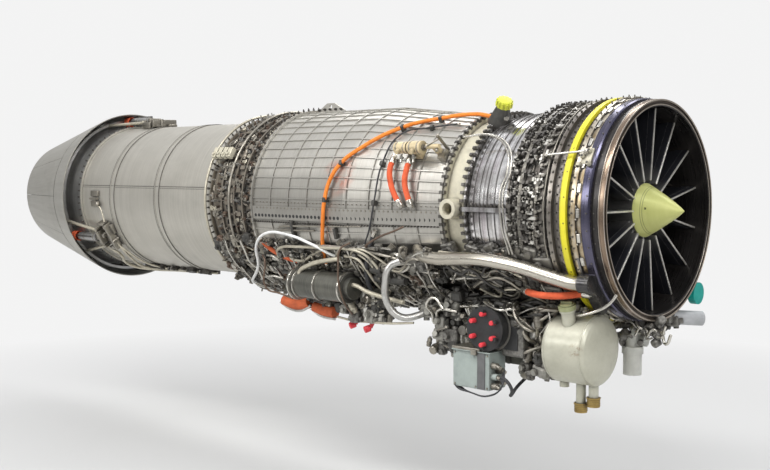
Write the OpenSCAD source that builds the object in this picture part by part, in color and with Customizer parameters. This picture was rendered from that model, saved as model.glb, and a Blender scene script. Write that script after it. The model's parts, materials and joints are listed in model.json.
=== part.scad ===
// Low-bypass turbofan with reheat, nose to the right.
// +X points forward, +Z points up, and the near side is -Y.
// The origin is the centre of the intake face on the engine axis.
// A station is a distance aft of the intake face. A clock angle is counted from the top to the near side.

/* [Inlet] */
// Radius of the intake opening
inlet_r = 364.5; // [355:0.5:368]
// Outer radius of the intake ring
inlet_outer_r = 387; // [383:0.5:390]
// Length of the true cylinder on the intake ring
inlet_spigot_len = 28; // [20:1:29]
// Station of the joint between intake ring and front frame
inlet_joint_s = 50; // [44:1:54]
// Length of the nose cone
nose_len = 148; // [120:1:170]
// Radius of the nose cone at its base
nose_r = 96; // [90:1:100]
// Thickness of the nose cone shell
nose_wall = 3; // [2:0.5:6]

/* [Front frame] */
// Number of radial struts
strut_count = 15; // [11:1:17]
// Thickness of a strut
strut_t = 9; // [6:0.5:12]
// Radius of the smooth band behind the intake ring
frame_band_r = 394; // [390:0.5:398]
// Thickness of a movable guide flap
flap_t = 6; // [4:0.5:8]

/* [Fan case] */
// Outer radius of the fan case at its front
fan_case_front_r = 382; // [378:0.5:386]
// Outer radius of the fan case at its rear
fan_case_rear_r = 343; // [339:0.5:347]
// Wall of the fan case
fan_case_wall = 7; // [5:0.5:9]
// Height of a flange above its case
flange_h = 15; // [10:1:18]
// Thickness of one flange
flange_t = 8; // [6:0.5:10]
// Station of the joint between fan case and middle frame
fan_case_end_s = 600; // [596:1:604]
// Height of the ring band above its seat
belt_h = 14; // [10:0.5:16]
// Width of the ring band
belt_w = 26; // [18:1:30]

/* [Bypass duct] */
// Outer radius of the duct skin at its front
duct_front_r = 351; // [347:0.5:355]
// Outer radius of the duct skin over its straight stretch
duct_r = 402; // [398:0.5:406]
// Station where the straight stretch starts
duct_knee_s = 1180; // [1100:5:1260]
// Wall of the duct skin
duct_wall = 5; // [3:0.5:7]
// Height of the stiffening ribs
rib_h = 5; // [3:0.5:8]
// Width of the stiffening ribs
rib_w = 4; // [3:0.5:6]
// Number of bays between ring ribs
rib_bays = 9; // [7:1:11]
// Angle between lengthwise ribs
rib_pitch = 6.4; // [6:0.1:9]
// Depth of the split plane below the engine axis
split_drop = 40; // [20:1:50]

/* [Jet pipe] */
// Outer radius of the jet pipe
pipe_r = 371; // [366:0.5:376]
// Wall of the jet pipe
pipe_wall = 4; // [3:0.5:6]
// Station of the front joint of the jet pipe
pipe_front_s = 2060; // [2050:1:2070]
// Station of the rear joint of the jet pipe
pipe_end_s = 3182; // [3172:1:3192]
// Radius of the liner inside the jet pipe
liner_r = 352; // [346:0.5:356]

/* [Nozzle] */
// Outer radius of the fairing at its front edge
fairing_r = 452; // [448:0.5:456]
// Station of the front edge of the fairing
fairing_front_s = 3235; // [3225:1:3245]
// Station of the rear edge of the fairing
fairing_end_s = 3385; // [3380:1:3388]
// Outer radius of the flaps at the exit
exit_r = 300; // [290:1:310]
// Station of the exit
exit_s = 3898; // [3850:1:3940]
// Number of outer flaps
petal_count = 12; // [10:1:14]
// Thickness of an outer flap
petal_wall = 5; // [3:0.5:7]
// Radius of the flap hinge pins
hinge_r = 6; // [4:0.5:8]
// Radius of an actuator rod
rod_r = 8; // [6:0.5:10]
// Radius of an actuator cylinder
actuator_r = 22; // [18:0.5:24]

/* [Oil tank] */
// Radius of the oil tank
tank_r = 122; // [110:1:126]
// Length of the straight wall of the tank
tank_len = 140; // [110:1:150]
// Wall of the tank
tank_wall = 3; // [2:0.5:5]
// Radius of a drain spigot
spigot_r = 17; // [14:0.5:20]

/* [Accessories] */
// Length of the gearbox along the engine
gearbox_len = 380; // [340:5:400]
// Width of the gearbox across the engine
gearbox_w = 330; // [300:5:340]
// Height of the gearbox
gearbox_h = 150; // [130:1:160]
// Wall of the gearbox
gearbox_wall = 8; // [5:0.5:10]
// Radius of the accessory pad cover
pad_r = 78; // [70:1:82]
// Length of the control box
box_l = 165; // [150:1:180]
// Height of the control box
box_h = 135; // [120:1:140]
// Depth of the control box
box_d = 98; // [80:1:110]
// Radius of the fuel pump body
pump_r = 60; // [50:1:62]
// Length of the fuel pump body
pump_len = 300; // [260:5:320]

/* [Rotors] */
// Outer radius of the low pressure shaft
lp_shaft_r = 35; // [30:0.5:37]
// Outer radius of the high pressure shaft
hp_shaft_r = 52; // [48:0.5:56]
// Radius of the bore through the high pressure shaft
hp_bore_r = 41; // [39:0.5:44]
// Radius of the tower shaft
tower_r = 12; // [9:0.5:14]

/* [Mounts] */
// Radius of the bore in a side trunnion
trunnion_bore_r = 22.5; // [18:0.5:26]
// Radius of a side trunnion
trunnion_r = 37; // [34:0.5:38]
// Radius from the axis to the face of a side trunnion
trunnion_face_r = 392; // [385:1:400]
// Radius of the hole in the rear hanger
hanger_hole_r = 9; // [7:0.5:12]

/* [Hidden] */
$fn = 72;
seat = 0.3;             // gap between curved faces of fixed pieces
run_fit = 0.05;         // radial clearance of a running fit
tip_gap = 1.5;          // gap between blade tips and their case
front_case_s = 108;     // front frame to front case joint
fan_case_s = 205;       // front case to fan case joint
mid_s = fan_case_end_s;
frame_barrel_r = fan_case_rear_r - 4;
duct_s = mid_s + 100;   // middle frame to duct joint
duct_end_s = 1735;
belt_s = 151;
belt_seat_r = fan_case_front_r + 4;
fan_tip_front_r = fan_case_front_r - 25;
fan_tip_rear_r = 320;
core_r = 205;           // compressor case inside radius at its front
core_end_s = 1660;      // turbine case to turbine frame joint
burner_s = 1150;
burner_r = 236;
injector_s = burner_s + 50;
injector_count = 18;
injector_r = 8;
stem_r = 5;
turbine_s = 1400;
petal_step = 360 / petal_count;
hinge_s = 3398;
hinge_ring_r = 398;
flap_front_s = fairing_end_s + 7;
nozzle_slope = (fairing_r - exit_r) / (exit_s - fairing_front_s);
ring_s = 3290;
actuator_angles = [1, 121, 241];
actuator_line_r = 409;
tank_pos = [-168, -250, -474];
tank_lean = -atan2(tank_pos[1], tank_pos[2]) - 180;
gearbox_pos = [-515, -20, -505];
pad_pos = [-509, -432];    // x and z of the accessory pad
pad_face_y = -300;
tower_s = 650;
gearbox_x0 = -(gearbox_pos[0] + gearbox_len / 2);
filler_pos = [-168, -326, -352];
filler_lean = 16;

// Radius of the nozzle's outer cone at a station
function cone_r(s) = fairing_r - (s - fairing_front_s) * nozzle_slope;
// Outer radius of the fan case at a station
function fan_r(s) = fan_case_front_r + (s - fan_case_s) * (fan_case_rear_r - fan_case_front_r) / (mid_s - fan_case_s);
// Inner radius of the case behind the frame at a station
function throat_r(s) = inlet_r - 4 + (fan_tip_front_r - inlet_r + 4) * (s - front_case_s) / (fan_case_s - front_case_s);
// Fan tip radius of the flow path at a station
function tip_r(s) = fan_tip_front_r + (s - fan_case_s) * (fan_tip_rear_r - fan_tip_front_r) / (mid_s - fan_case_s);
// Outer radius of the duct skin at a station
function skin_r(s) = s > duct_knee_s ? duct_r
    : duct_front_r + (s - duct_s) * (duct_r - duct_front_r) / (duct_knee_s - duct_s);
// A point from station, radius and clock angle
function pt(s, r, a) = [-s, -r * sin(a), r * cos(a)];
// Unit vector
function unit(v) = v / norm(v);
// Smooth curve through hand chosen points, with steps points on each stretch
function smooth(p, steps) = [
    for (i = [0 : len(p) - 2], k = [0 : steps - 1])
        let (a = p[max(i - 1, 0)], b = p[i], c = p[i + 1], d = p[min(i + 2, len(p) - 1)], t = k / steps)
        b + t * ((c - a) + t * ((2 * a - 5 * b + 4 * c - d) + t * (3 * b - a - 3 * c + d))) / 2,
    p[len(p) - 1]
];

// Top of the duct ribs, or of the flanges ahead of them, at a station
function over_r(s) = s > duct_knee_s ? duct_r + rib_h
    : s < duct_s + flange_t + 6 ? duct_front_r + flange_h
    : duct_front_r + rib_h + (s - duct_s - 4) * (duct_r - duct_front_r) / (duct_knee_s - duct_s - 4);

// Routes as [station, radius, clock angle]
orange_route = [[560, 372, 26], [640, 376, 23], [704, 384, 22], [860, 386, 27], [993, 400, 39], [1148, 415, 58],
    [1206, 419, 66], [1242, 421, 75], [1263, 422, 87], [1282, 422, 101], [1315, 422, 116], [1325, 430, 126]];
black_route = [[760, 370, 30], [865, 380, 36], [981, 393, 44], [1003, 396, 65], [1010, 400, 88], [1041, 404, 103],
    [1080, 410, 112]];
white_route = [[1958, 403, 150], [1910, 440, 147], [1860, 468, 140], [1735, 460, 126], [1700, 452, 114],
    [1629, 445, 107], [1484, 440, 107], [1346, 440, 112], [1243, 430, 119], [1210, 418, 121]];
sleeve_a_route = [[948, 400, 63], [944, 406, 69], [928, 406, 76], [898, 402, 84], [880, 394, 88]];
sleeve_b_route = [[868, 394, 63], [866, 398, 69], [862, 398, 76], [842, 394, 84], [834, 388, 88]];
fire_sleeve_route = [[95, 418, 131], [125, 420, 131], [165, 448, 129], [240, 464, 128], [300, 452, 129],
    [345, 430, 131]];
rust_sleeve_route = [[1700, 418, 113], [1650, 424, 118], [1560, 430, 123], [1490, 422, 126]];
dark_hose_route = [[1020, 402, 105], [1060, 420, 116], [1100, 445, 129], [1110, 470, 140]];
loop_points = [[-459.7, -330, -605], [-430, -330, -607], [-402, -326, -640], [-425, -300, -670], [-440, -240, -650],
    [-430, -180, -610], [-425, -150, -576]];
manifold_end_s = 99;
cap_end_s = 90;
cap_y = (frame_band_r + 46.6) * 0.6922;
cap_z = -(frame_band_r + 46.6) * 0.7218;
air_duct_r = 432;
air_duct_route = [[95, 432, 123], [140, 432, 123], [230, 432, 120], [310, 432, 117], [400, 432, 115],
    [500, 430, 114], [600, 426, 115], [690, 424, 116], [750, 420, 116], [800, 405, 116], [835, 375, 116],
    [850, 350, 116]];

// Places children with z pointing aft from the intake face and x pointing up
module along() {
    rotate([0, -90, 0]) children();
}
// Places children at a station, radius and clock angle, with x pointing outwards and z pointing aft
module at(s, r, a) {
    along() rotate([0, 0, -a]) translate([r, 0, s]) children();
}
// Solid of revolution about the engine axis from points of radius and station
module turned(points) {
    along() rotate_extrude($fn = 120) polygon(points);
}
// Plain ring between two stations
module ring(s0, s1, r0, r1) {
    turned([[r0, s0], [r1, s0], [r1, s1], [r0, s1]]);
}
// Bolt with its hexagon head, standing along +x
module bolt(d, h) {
    rotate([0, 90, 0]) union() {
        cylinder(r = d * 0.9, h = d * 0.65, $fn = 6);
        cylinder(r = d * 0.5, h = h, $fn = 8);
    }
}
// Round tube swept along points
module sweep_tube(p, r, sides = 8, side_axis = [0.2, 0.3, 0.93]) {
    n = len(p);
    rings = [
        for (i = [0 : n - 1])
            let (t = unit(p[min(i + 1, n - 1)] - p[max(i - 1, 0)]), u = unit(cross(t, side_axis)), w = cross(t, u))
            for (k = [0 : sides - 1]) p[i] + r * (cos(360 * k / sides) * u + sin(360 * k / sides) * w)
    ];
    walls = [
        for (i = [0 : n - 2], k = [0 : sides - 1])
            [i * sides + k, (i + 1) * sides + k, (i + 1) * sides + (k + 1) % sides, i * sides + (k + 1) % sides]
    ];
    ends = [[for (k = [0 : sides - 1]) k], [for (k = [0 : sides - 1]) n * sides - 1 - k]];
    polyhedron(rings, concat(walls, ends), convexity = 6);
}
// Tube along a route given by station, radius and clock angle
module routed(route, r, steps = 3, side_axis = [0.2, 0.3, 0.93]) {
    sweep_tube(smooth([for (q = route) pt(q[0], q[1], q[2])], steps), r, 8, side_axis);
}
// Row of plate blades about the engine axis
module blades(n, s, r0, r1, chord, t, pitch, shift = 0) {
    for (i = [0 : n - 1]) at(s, (r0 + r1) / 2, (i + shift) * 360 / n) rotate([pitch, 0, 0])
        cube([r1 - r0, t, chord], center = true);
}
// Half space above or below the split plane
module upper_half(drop, s0, s1) {
    translate([-s1, -600, -drop]) cube([s1 - s0, 1200, 700]);
}
module lower_half(drop, s0, s1) {
    translate([-s1, -600, -700]) cube([s1 - s0, 1200, 700 - drop]);
}

module inlet_ring() {
    groove = 6;
    lip_edge = 4;
    color("rosybrown") turned([
        [inlet_r, 3], [inlet_r + 3, 0], [inlet_r + 3 + lip_edge, 0], [inlet_r + 3 + lip_edge, groove],
        [inlet_outer_r - lip_edge, groove], [inlet_outer_r - lip_edge, 0], [inlet_outer_r, 0],
        [inlet_outer_r, inlet_spigot_len + 2], [inlet_r + 14, inlet_spigot_len + 2],
        [inlet_r + 14, inlet_joint_s], [inlet_r, inlet_joint_s]
    ]);
}

module front_frame() {
    hub_r = nose_r - 2;
    color("slategray") union() {
        turned([
            [inlet_r, inlet_joint_s], [frame_band_r - 3, inlet_joint_s], [frame_band_r, inlet_joint_s + 6],
            [frame_band_r, front_case_s - flange_t], [frame_band_r + 8, front_case_s - flange_t],
            [frame_band_r + 8, front_case_s], [inlet_r - 4, front_case_s]
        ]);
        turned([
            [72, 62], [hub_r, 62], [hub_r, 160], [72, 160]
        ]);
        for (i = [0 : strut_count - 1]) at(90, (hub_r + inlet_r) / 2 - 1, 90 + i * 360 / strut_count)
            cube([inlet_r - hub_r + 8, strut_t, 30], center = true);
        for (i = [0 : strut_count - 1]) at(127, (hub_r - 3 + throat_r(150) - seat) / 2, 90 + i * 360 / strut_count)
            cube([throat_r(150) - seat - hub_r + 3, flap_t, 46], center = true);
        manifold_boss();
    }
}
module manifold_boss() {
    at(79, frame_band_r, 132) translate([-6, -75, -21]) cube([40, 150, 41]);
    at(56, air_duct_r, 123) cylinder(r = 31, h = 43.1);
}

module nose_cone() {
    base_s = 62;
    steps = 10;
    outer = [for (i = [0 : steps]) let (t = i / steps) [nose_r * pow(t, 0.86), base_s - nose_len * (1 - t)]];
    inner = [for (i = [steps : -1 : 2]) let (t = i / steps)
        [nose_r * pow(t, 0.86) - nose_wall * 1.2, base_s - nose_len * (1 - t)]];
    color("yellowgreen") turned(concat(outer, inner, [[0, base_s - nose_len * 0.86]]));
}

module front_case() {
    color("tan") turned([
        [inlet_r - 4, front_case_s], [frame_band_r + 8, front_case_s], [frame_band_r + 8, front_case_s + flange_t],
        [fan_case_front_r + 2, front_case_s + flange_t], [fan_case_front_r + 2, belt_s - belt_w / 2],
        [belt_seat_r, belt_s - belt_w / 2], [belt_seat_r, belt_s + belt_w / 2],
        [fan_case_front_r, belt_s + belt_w / 2], [fan_case_front_r, fan_case_s - flange_t],
        [fan_case_front_r + flange_h, fan_case_s - flange_t], [fan_case_front_r + flange_h, fan_case_s],
        [fan_tip_front_r, fan_case_s]
    ]);
}

module ring_band() {
    inner = belt_seat_r + seat;
    color("yellow") turned([
        [inner, belt_s - belt_w / 2], [inner + belt_h, belt_s - belt_w / 2], [inner + belt_h, belt_s + belt_w / 4],
        [inner + belt_h - 5, belt_s + belt_w / 4], [inner + belt_h - 5, belt_s + belt_w / 2],
        [inner, belt_s + belt_w / 2]
    ]);
}

module fan_case_shell() {
    bands = [[230, 6, 5], [268, 8, 9], [300, 6, 4], [392, 8, 8], [425, 14, 3], [462, 10, 3], [497, 20, 3],
        [535, 8, 3], [563, 10, 3]];
    outer = [
        for (b = bands) each [
            [fan_r(b[0]), b[0]], [fan_r(b[0]) + b[2], b[0]],
            [fan_r(b[0] + b[1]) + b[2], b[0] + b[1]], [fan_r(b[0] + b[1]), b[0] + b[1]]
        ]
    ];
    turned(concat(
        [[tip_r(fan_case_s), fan_case_s], [fan_case_front_r + flange_h, fan_case_s],
            [fan_case_front_r + flange_h, fan_case_s + flange_t], [fan_r(fan_case_s + flange_t), fan_case_s + flange_t]],
        outer,
        [[fan_r(mid_s - flange_t), mid_s - flange_t], [fan_case_rear_r + flange_h, mid_s - flange_t],
            [fan_case_rear_r + flange_h, mid_s], [tip_r(mid_s), mid_s]]
    ));
}
module fan_stators() {
    for (s = [292, 425]) blades(24, s, 176, tip_r(s) + 3, 34, 4, -22, 0.5);
    for (s = [292, 425]) ring(s - 20, s + 20, 171, 178);
}
module case_flange(s0, s1, r0, r1, z) {
    for (side = [-1, 1]) translate([-s1, side > 0 ? r0 : -r1, z]) cube([s1 - s0, r1 - r0, flange_t]);
}

module fan_case_upper() {
    color("silver") union() {
        intersection() {
            union() {
                fan_case_shell();
                fan_stators();
            }
            upper_half(0, fan_case_s, mid_s);
        }
        case_flange(395, mid_s - flange_t, fan_case_rear_r - 3, fan_case_rear_r + 35, 0);
    }
}

module fan_case_lower() {
    color("silver") union() {
        intersection() {
            union() {
                fan_case_shell();
                fan_stators();
            }
            lower_half(0, fan_case_s, mid_s);
        }
        case_flange(395, mid_s - flange_t, fan_case_rear_r - 3, fan_case_rear_r + 35, -flange_t);
    }
}

module vane_ring() {
    lever_count = 60;
    s0 = 330;
    seat_r = fan_r(s0) + seat;
    color("dimgray") union() {
        ring(s0, s0 + 14, seat_r, seat_r + 14);
        for (i = [0 : lever_count - 1]) at(s0 + 7, seat_r + 12, (i + 0.5) * 360 / lever_count) {
            translate([0, -4, -36]) cube([6, 8, 40]);
            translate([-4, 0, -32]) rotate([0, 90, 0]) cylinder(r = 6, h = 14, $fn = 24);
        }
    }
}

module middle_frame() {
    outer_r = frame_barrel_r;
    hub_r = 130;
    color("wheat") difference() {
        union() {
            turned([
                [tip_r(mid_s), mid_s], [fan_case_rear_r + flange_h, mid_s], [fan_case_rear_r + flange_h, mid_s + flange_t],
                [outer_r, mid_s + flange_t], [outer_r, duct_s - flange_t], [fan_case_rear_r + flange_h, duct_s - flange_t],
                [fan_case_rear_r + flange_h, duct_s], [tip_r(mid_s), duct_s]
            ]);
            turned([[core_r, mid_s + 16], [core_r + 7, mid_s + 12], [core_r + 12, duct_s - 6], [core_r + 30, duct_s - 6],
                [core_r + 30, duct_s], [core_r, duct_s]]);
            turned([[100, mid_s + 10], [hub_r, mid_s + 10], [hub_r, duct_s - 6], [100, duct_s - 6]]);
            for (i = [0 : 7]) at((mid_s + duct_s) / 2, (hub_r + tip_r(mid_s)) / 2, 22.5 + i * 45)
                cube([tip_r(mid_s) - hub_r + 6, 12, 60], center = true);
            at(tower_s, 0, 180) translate([hub_r - 2, -18, -18]) cube([tip_r(mid_s) - hub_r + 8, 36, 36]);
            for (a = [90, 270]) at(tower_s, outer_r - 4, a) rotate([0, 90, 0])
                cylinder(r = trunnion_r, h = trunnion_face_r - outer_r + 4);
        }
        for (a = [90, 270]) at(tower_s, trunnion_face_r - 45, a) rotate([0, 90, 0])
            cylinder(r = trunnion_bore_r, h = 60);
        at(tower_s, 80, 180) rotate([0, 90, 0]) cylinder(r = tower_r + 2, h = 300);
    }
}

module duct_shell(s0, s1) {
    bay = (s1 - s0 - 2 * flange_t) / rib_bays;
    rib_s = [for (i = [1 : rib_bays - 1]) s0 + flange_t + i * bay];
    front_ribs = [for (s = rib_s) if (s < duct_knee_s - rib_w) s];
    rear_ribs = [for (s = rib_s) if (s > duct_knee_s) s];
    turned(concat(
        [[skin_r(s0) - duct_wall, s0], [skin_r(s0) + flange_h, s0], [skin_r(s0) + flange_h, s0 + flange_t],
            [skin_r(s0 + flange_t), s0 + flange_t]],
        [for (s = front_ribs) each [[skin_r(s), s], [skin_r(s) + rib_h, s], [skin_r(s) + rib_h, s + rib_w],
            [skin_r(s + rib_w), s + rib_w]]],
        [[duct_r, duct_knee_s]],
        [for (s = rear_ribs) each [[duct_r, s], [duct_r + rib_h, s], [duct_r + rib_h, s + rib_w],
            [duct_r, s + rib_w]]],
        [[duct_r, s1 - flange_t], [duct_r + flange_h - 2, s1 - flange_t], [duct_r + flange_h - 2, s1],
            [duct_r - duct_wall, s1], [duct_r - duct_wall, duct_knee_s]]
    ));
}
// Lengthwise ribs between two clock angles
module duct_ribs(a0, a1) {
    for (a = [a0 : rib_pitch : a1]) along() rotate([0, 0, -a]) rotate([90, 0, 0])
        translate([0, 0, -rib_w / 2]) linear_extrude(rib_w) polygon([
            [skin_r(duct_s) - 2, duct_s + 4], [skin_r(duct_s) + rib_h, duct_s + 4],
            [duct_r + rib_h, duct_knee_s], [duct_r + rib_h, duct_end_s - 4],
            [duct_r - 2, duct_end_s - 4], [duct_r - 2, duct_knee_s]
        ]);
}
// Strap along the split line, standing outside the skin
module split_strap(z0, h) {
    len1 = duct_end_s - flange_t - duct_s - flange_t;
    for (side = [-1, 1]) intersection() {
        translate([-duct_end_s + flange_t, side > 0 ? 300 : -500, z0]) cube([len1, 200, h]);
        duct_sleeve();
    }
}
// Skin and a strap's height around it
module duct_sleeve() {
    strap_h = 9;
    turned([
        [skin_r(duct_s) - 2, duct_s], [skin_r(duct_s) + strap_h, duct_s], [duct_r + strap_h, duct_knee_s],
        [duct_r + strap_h, duct_end_s], [duct_r - 2, duct_end_s], [duct_r - 2, duct_knee_s]
    ]);
}

module bypass_duct_upper() {
    hanger_s = 1655;
    color("gainsboro") difference() {
        union() {
            intersection() {
                duct_shell(duct_s, duct_end_s);
                upper_half(split_drop, duct_s, duct_end_s);
            }
            duct_ribs(-86, 88);
            split_strap(-split_drop, 28);
            at(hanger_s, duct_r - 2, 0) rotate([90, 0, 0]) linear_extrude(8, center = true)
                polygon([[0, -90], [12, -90], [46, -24], [46, 24], [12, 79], [0, 79]]);
        }
        at(hanger_s, duct_r + 28, 0) rotate([90, 0, 0]) cylinder(r = hanger_hole_r, h = 40, center = true);
    }
}

module bypass_duct_lower() {
    color("gainsboro") union() {
        intersection() {
            duct_shell(duct_s, duct_end_s);
            lower_half(split_drop, duct_s, duct_end_s);
        }
        duct_ribs(106, 254);
        split_strap(-split_drop - 28, 28);
    }
}

module compressor_case() {
    rear_r = 178;
    color("lightgray") union() {
        turned([
            [core_r, duct_s], [core_r + 30, duct_s], [core_r + 30, duct_s + flange_t], [core_r + 7, duct_s + flange_t],
            [rear_r + 7, burner_s - flange_t], [rear_r + 47, burner_s - flange_t], [rear_r + 47, burner_s],
            [rear_r, burner_s]
        ]);
        for (i = [0 : 5]) blades(20, 780 + i * 62, 118, core_r - i * 4 - 2, 16, 3, -30);
        for (i = [0 : 5]) ring(770 + i * 62, 790 + i * 62, 113, 119);
    }
}

module combustor_case() {
    color("darkkhaki") difference() {
        turned([
            [172, burner_s], [225, burner_s], [225, burner_s + flange_t], [burner_r, burner_s + 36],
            [burner_r, turbine_s - flange_t], [burner_r + 14, turbine_s - flange_t], [burner_r + 14, turbine_s],
            [burner_r - 6, turbine_s], [burner_r - 6, burner_s + 38], [216, burner_s + 12], [172, burner_s + 12]
        ]);
        for (i = [0 : injector_count - 1]) at(injector_s, 200, i * 360 / injector_count)
            rotate([0, 90, 0]) cylinder(r = stem_r + seat, h = 60);
    }
}

module combustor_liner() {
    rim = burner_r - 6 - seat;
    color("sienna") difference() {
        turned([
            [150, injector_s + 10], [205, injector_s + 10], [215, burner_s + 100], [rim, turbine_s - 22],
            [rim, turbine_s - 2], [rim - 5, turbine_s - 2], [211, burner_s + 102], [201, injector_s + 14],
            [154, injector_s + 14], [142, burner_s + 102], [150, turbine_s - 2], [146, turbine_s - 2],
            [138, burner_s + 100]
        ]);
        for (i = [0 : injector_count - 1]) at(injector_s, 178, i * 360 / injector_count)
            cylinder(r = injector_r + seat, h = 40);
    }
}

module fuel_nozzles() {
    color("silver") union() {
        ring(injector_s - 7, injector_s + 7, burner_r + seat, burner_r + 10);
        for (i = [0 : injector_count - 1]) at(injector_s, 178, i * 360 / injector_count) {
            rotate([0, 90, 0]) cylinder(r = stem_r, h = burner_r + 6 - 178, $fn = 24);
            cylinder(r = injector_r, h = 26, $fn = 24);
        }
    }
}

module turbine_case() {
    color("peru") union() {
        turned([
            [215, turbine_s], [250, turbine_s], [250, turbine_s + flange_t], [226, turbine_s + flange_t],
            [240, core_end_s - flange_t], [262, core_end_s - flange_t], [262, core_end_s], [232, core_end_s],
            [219, turbine_s + 16]
        ]);
        blades(24, turbine_s + 30, 160, 224, 30, 5, 32);
        ring(turbine_s + 14, turbine_s + 46, 154, 162);
        blades(24, turbine_s + 140, 150, 233, 32, 5, 32);
        ring(turbine_s + 123, turbine_s + 157, 144, 152);
    }
}

module turbine_frame() {
    hub_r = 118;
    rim_r = duct_r - duct_wall - seat;
    color("rosybrown") union() {
        ring(core_end_s, core_end_s + 70, rim_r - 6, rim_r);
        ring(core_end_s, core_end_s + 66, 234, 262);
        ring(core_end_s, core_end_s + 66, 92, hub_r);
        for (i = [0 : 7]) at(core_end_s + 35, (hub_r + rim_r) / 2 - 2, i * 45)
            cube([rim_r - hub_r, 12, 50], center = true);
    }
}

module tail_cone() {
    s0 = core_end_s + 66;
    steps = 8;
    color("rosybrown") turned(concat(
        [for (i = [0 : steps]) let (t = i / steps) [118 * sqrt(1 - t * t), s0 + 260 * t]],
        [[0, s0 + 256], [100, s0 + 100], [113, s0]]
    ));
}

module rear_duct() {
    s0 = duct_end_s;
    s1 = pipe_front_s;
    low = 388;
    color("darkgray") union() {
        turned([
            [low - 6, s0], [duct_r + flange_h - 2, s0], [duct_r + flange_h - 2, s0 + flange_t], [low, s0 + flange_t],
            [low, s0 + 66], [low + 18, s0 + 66], [low + 18, s0 + 74], [low, s0 + 74], [low, s0 + 128],
            [low + 14, s0 + 128], [low + 14, s0 + 136], [low, s0 + 136], [low, s0 + 220], [low + 10, s0 + 220],
            [low + 10, s0 + 228], [low, s0 + 228], [pipe_r, s1 - 30], [pipe_r, s1 - flange_t],
            [pipe_r + flange_h, s1 - flange_t], [pipe_r + flange_h, s1], [pipe_r - pipe_wall, s1],
            [pipe_r - pipe_wall, s1 - 32], [low - 6, s0 + 226]
        ]);
        for (i = [0 : 23]) at(s0 + 102, low - 3, 7.5 + i * 15) translate([0, -9, -16]) cube([17, 18, 32]);
        for (i = [0 : 17]) at(s0 + 180, low - 3, 10 + i * 20) rotate([0, 90, 0]) cylinder(r = 13, h = 20, $fn = 24);
    }
}

module spray_bars() {
    count = 20;
    s = duct_end_s + 180;
    color("silver") union() {
        ring(s - 7, s + 7, 366, 378);
        for (i = [0 : count - 1]) at(s, 160, i * 360 / count) rotate([0, 90, 0]) cylinder(r = 6, h = 382 - seat - 160, $fn = 24);
    }
}

module flame_holder() {
    s = 2020;
    rim = pipe_r - pipe_wall - seat;
    color("sienna") union() {
        ring(s + 60, s + 84, rim - 4, rim);
        for (r = [150, 250]) turned([[r, s + 40], [r + 22, s + 80], [r + 18, s + 80], [r, s + 46], [r - 18, s + 80],
            [r - 22, s + 80]]);
        for (i = [0 : 11]) at(s + 66, (140 + rim) / 2, i * 30) cube([rim - 142, 8, 22], center = true);
    }
}

module jet_pipe() {
    bands = [2498, 2889];
    outer = [for (s = bands) each [[pipe_r, s - 20], [pipe_r + 3, s - 20], [pipe_r + 3, s - 13], [pipe_r + 1, s - 13],
        [pipe_r + 1, s + 13], [pipe_r + 3, s + 13], [pipe_r + 3, s + 20], [pipe_r, s + 20]]];
    color("lightgray") turned(concat(
        [[pipe_r - pipe_wall, pipe_front_s], [pipe_r + flange_h, pipe_front_s],
            [pipe_r + flange_h, pipe_front_s + flange_t], [pipe_r, pipe_front_s + flange_t]],
        outer,
        [[pipe_r, pipe_end_s - 10], [pipe_r + 10, pipe_end_s - 10], [pipe_r + 10, pipe_end_s],
            [pipe_r - pipe_wall, pipe_end_s]]
    ));
}

module jet_pipe_liner() {
    s0 = 2180;
    s1 = pipe_end_s - 22;
    count = 12;
    step = (s1 - s0 - 10) / count;
    seat_r = pipe_r - pipe_wall - seat;
    outer = [for (i = [0 : count]) each [[liner_r, s0 + i * step], [seat_r, s0 + i * step],
        [seat_r, s0 + i * step + 5], [liner_r, s0 + i * step + 5]]];
    color("burlywood") turned(concat([[liner_r - 3, s0]], outer, [[liner_r - 3, s0 + count * step + 5]]));
}

module nozzle_support() {
    color("gray") union() {
        turned([
            [pipe_r - pipe_wall, pipe_end_s], [pipe_r + 10, pipe_end_s], [pipe_r + 10, pipe_end_s + 10],
            [pipe_r + 7, pipe_end_s + 10], [pipe_r + 9, hinge_s - 60], [hinge_ring_r - 6, hinge_s - 36],
            [hinge_ring_r - 6, hinge_s - 16], [hinge_ring_r - 14, hinge_s - 16], [pipe_r + 3, hinge_s - 58],
            [pipe_r, pipe_end_s + 24], [pipe_r - pipe_wall, pipe_end_s + 20]
        ]);
        for (i = [0 : petal_count - 1]) at(hinge_s, hinge_ring_r, (i + 0.5) * petal_step) {
            for (side = [-1, 1]) translate([-10, side * 24 - 4, -22]) cube([17, 8, 28]);
            rotate([90, 0, 0]) cylinder(r = hinge_r, h = 54, center = true, $fn = 32);
        }
    }
}

module nozzle_fairing() {
    wall = 4;
    color("lightgray") union() {
        turned([
            [fairing_r - wall, fairing_front_s], [fairing_r, fairing_front_s], [cone_r(fairing_end_s), fairing_end_s],
            [cone_r(fairing_end_s) - wall, fairing_end_s], [cone_r(3376) - 12, 3376], [cone_r(3368) - 12, 3368],
            [cone_r(3364) - wall, 3364]
        ]);
        for (i = [0 : petal_count - 1]) at(3366, 0, i * petal_step)
            translate([hinge_ring_r - 6 + seat, -4, -3]) cube([cone_r(3366) - hinge_ring_r + 4, 8, 14]);
    }
}

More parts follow.
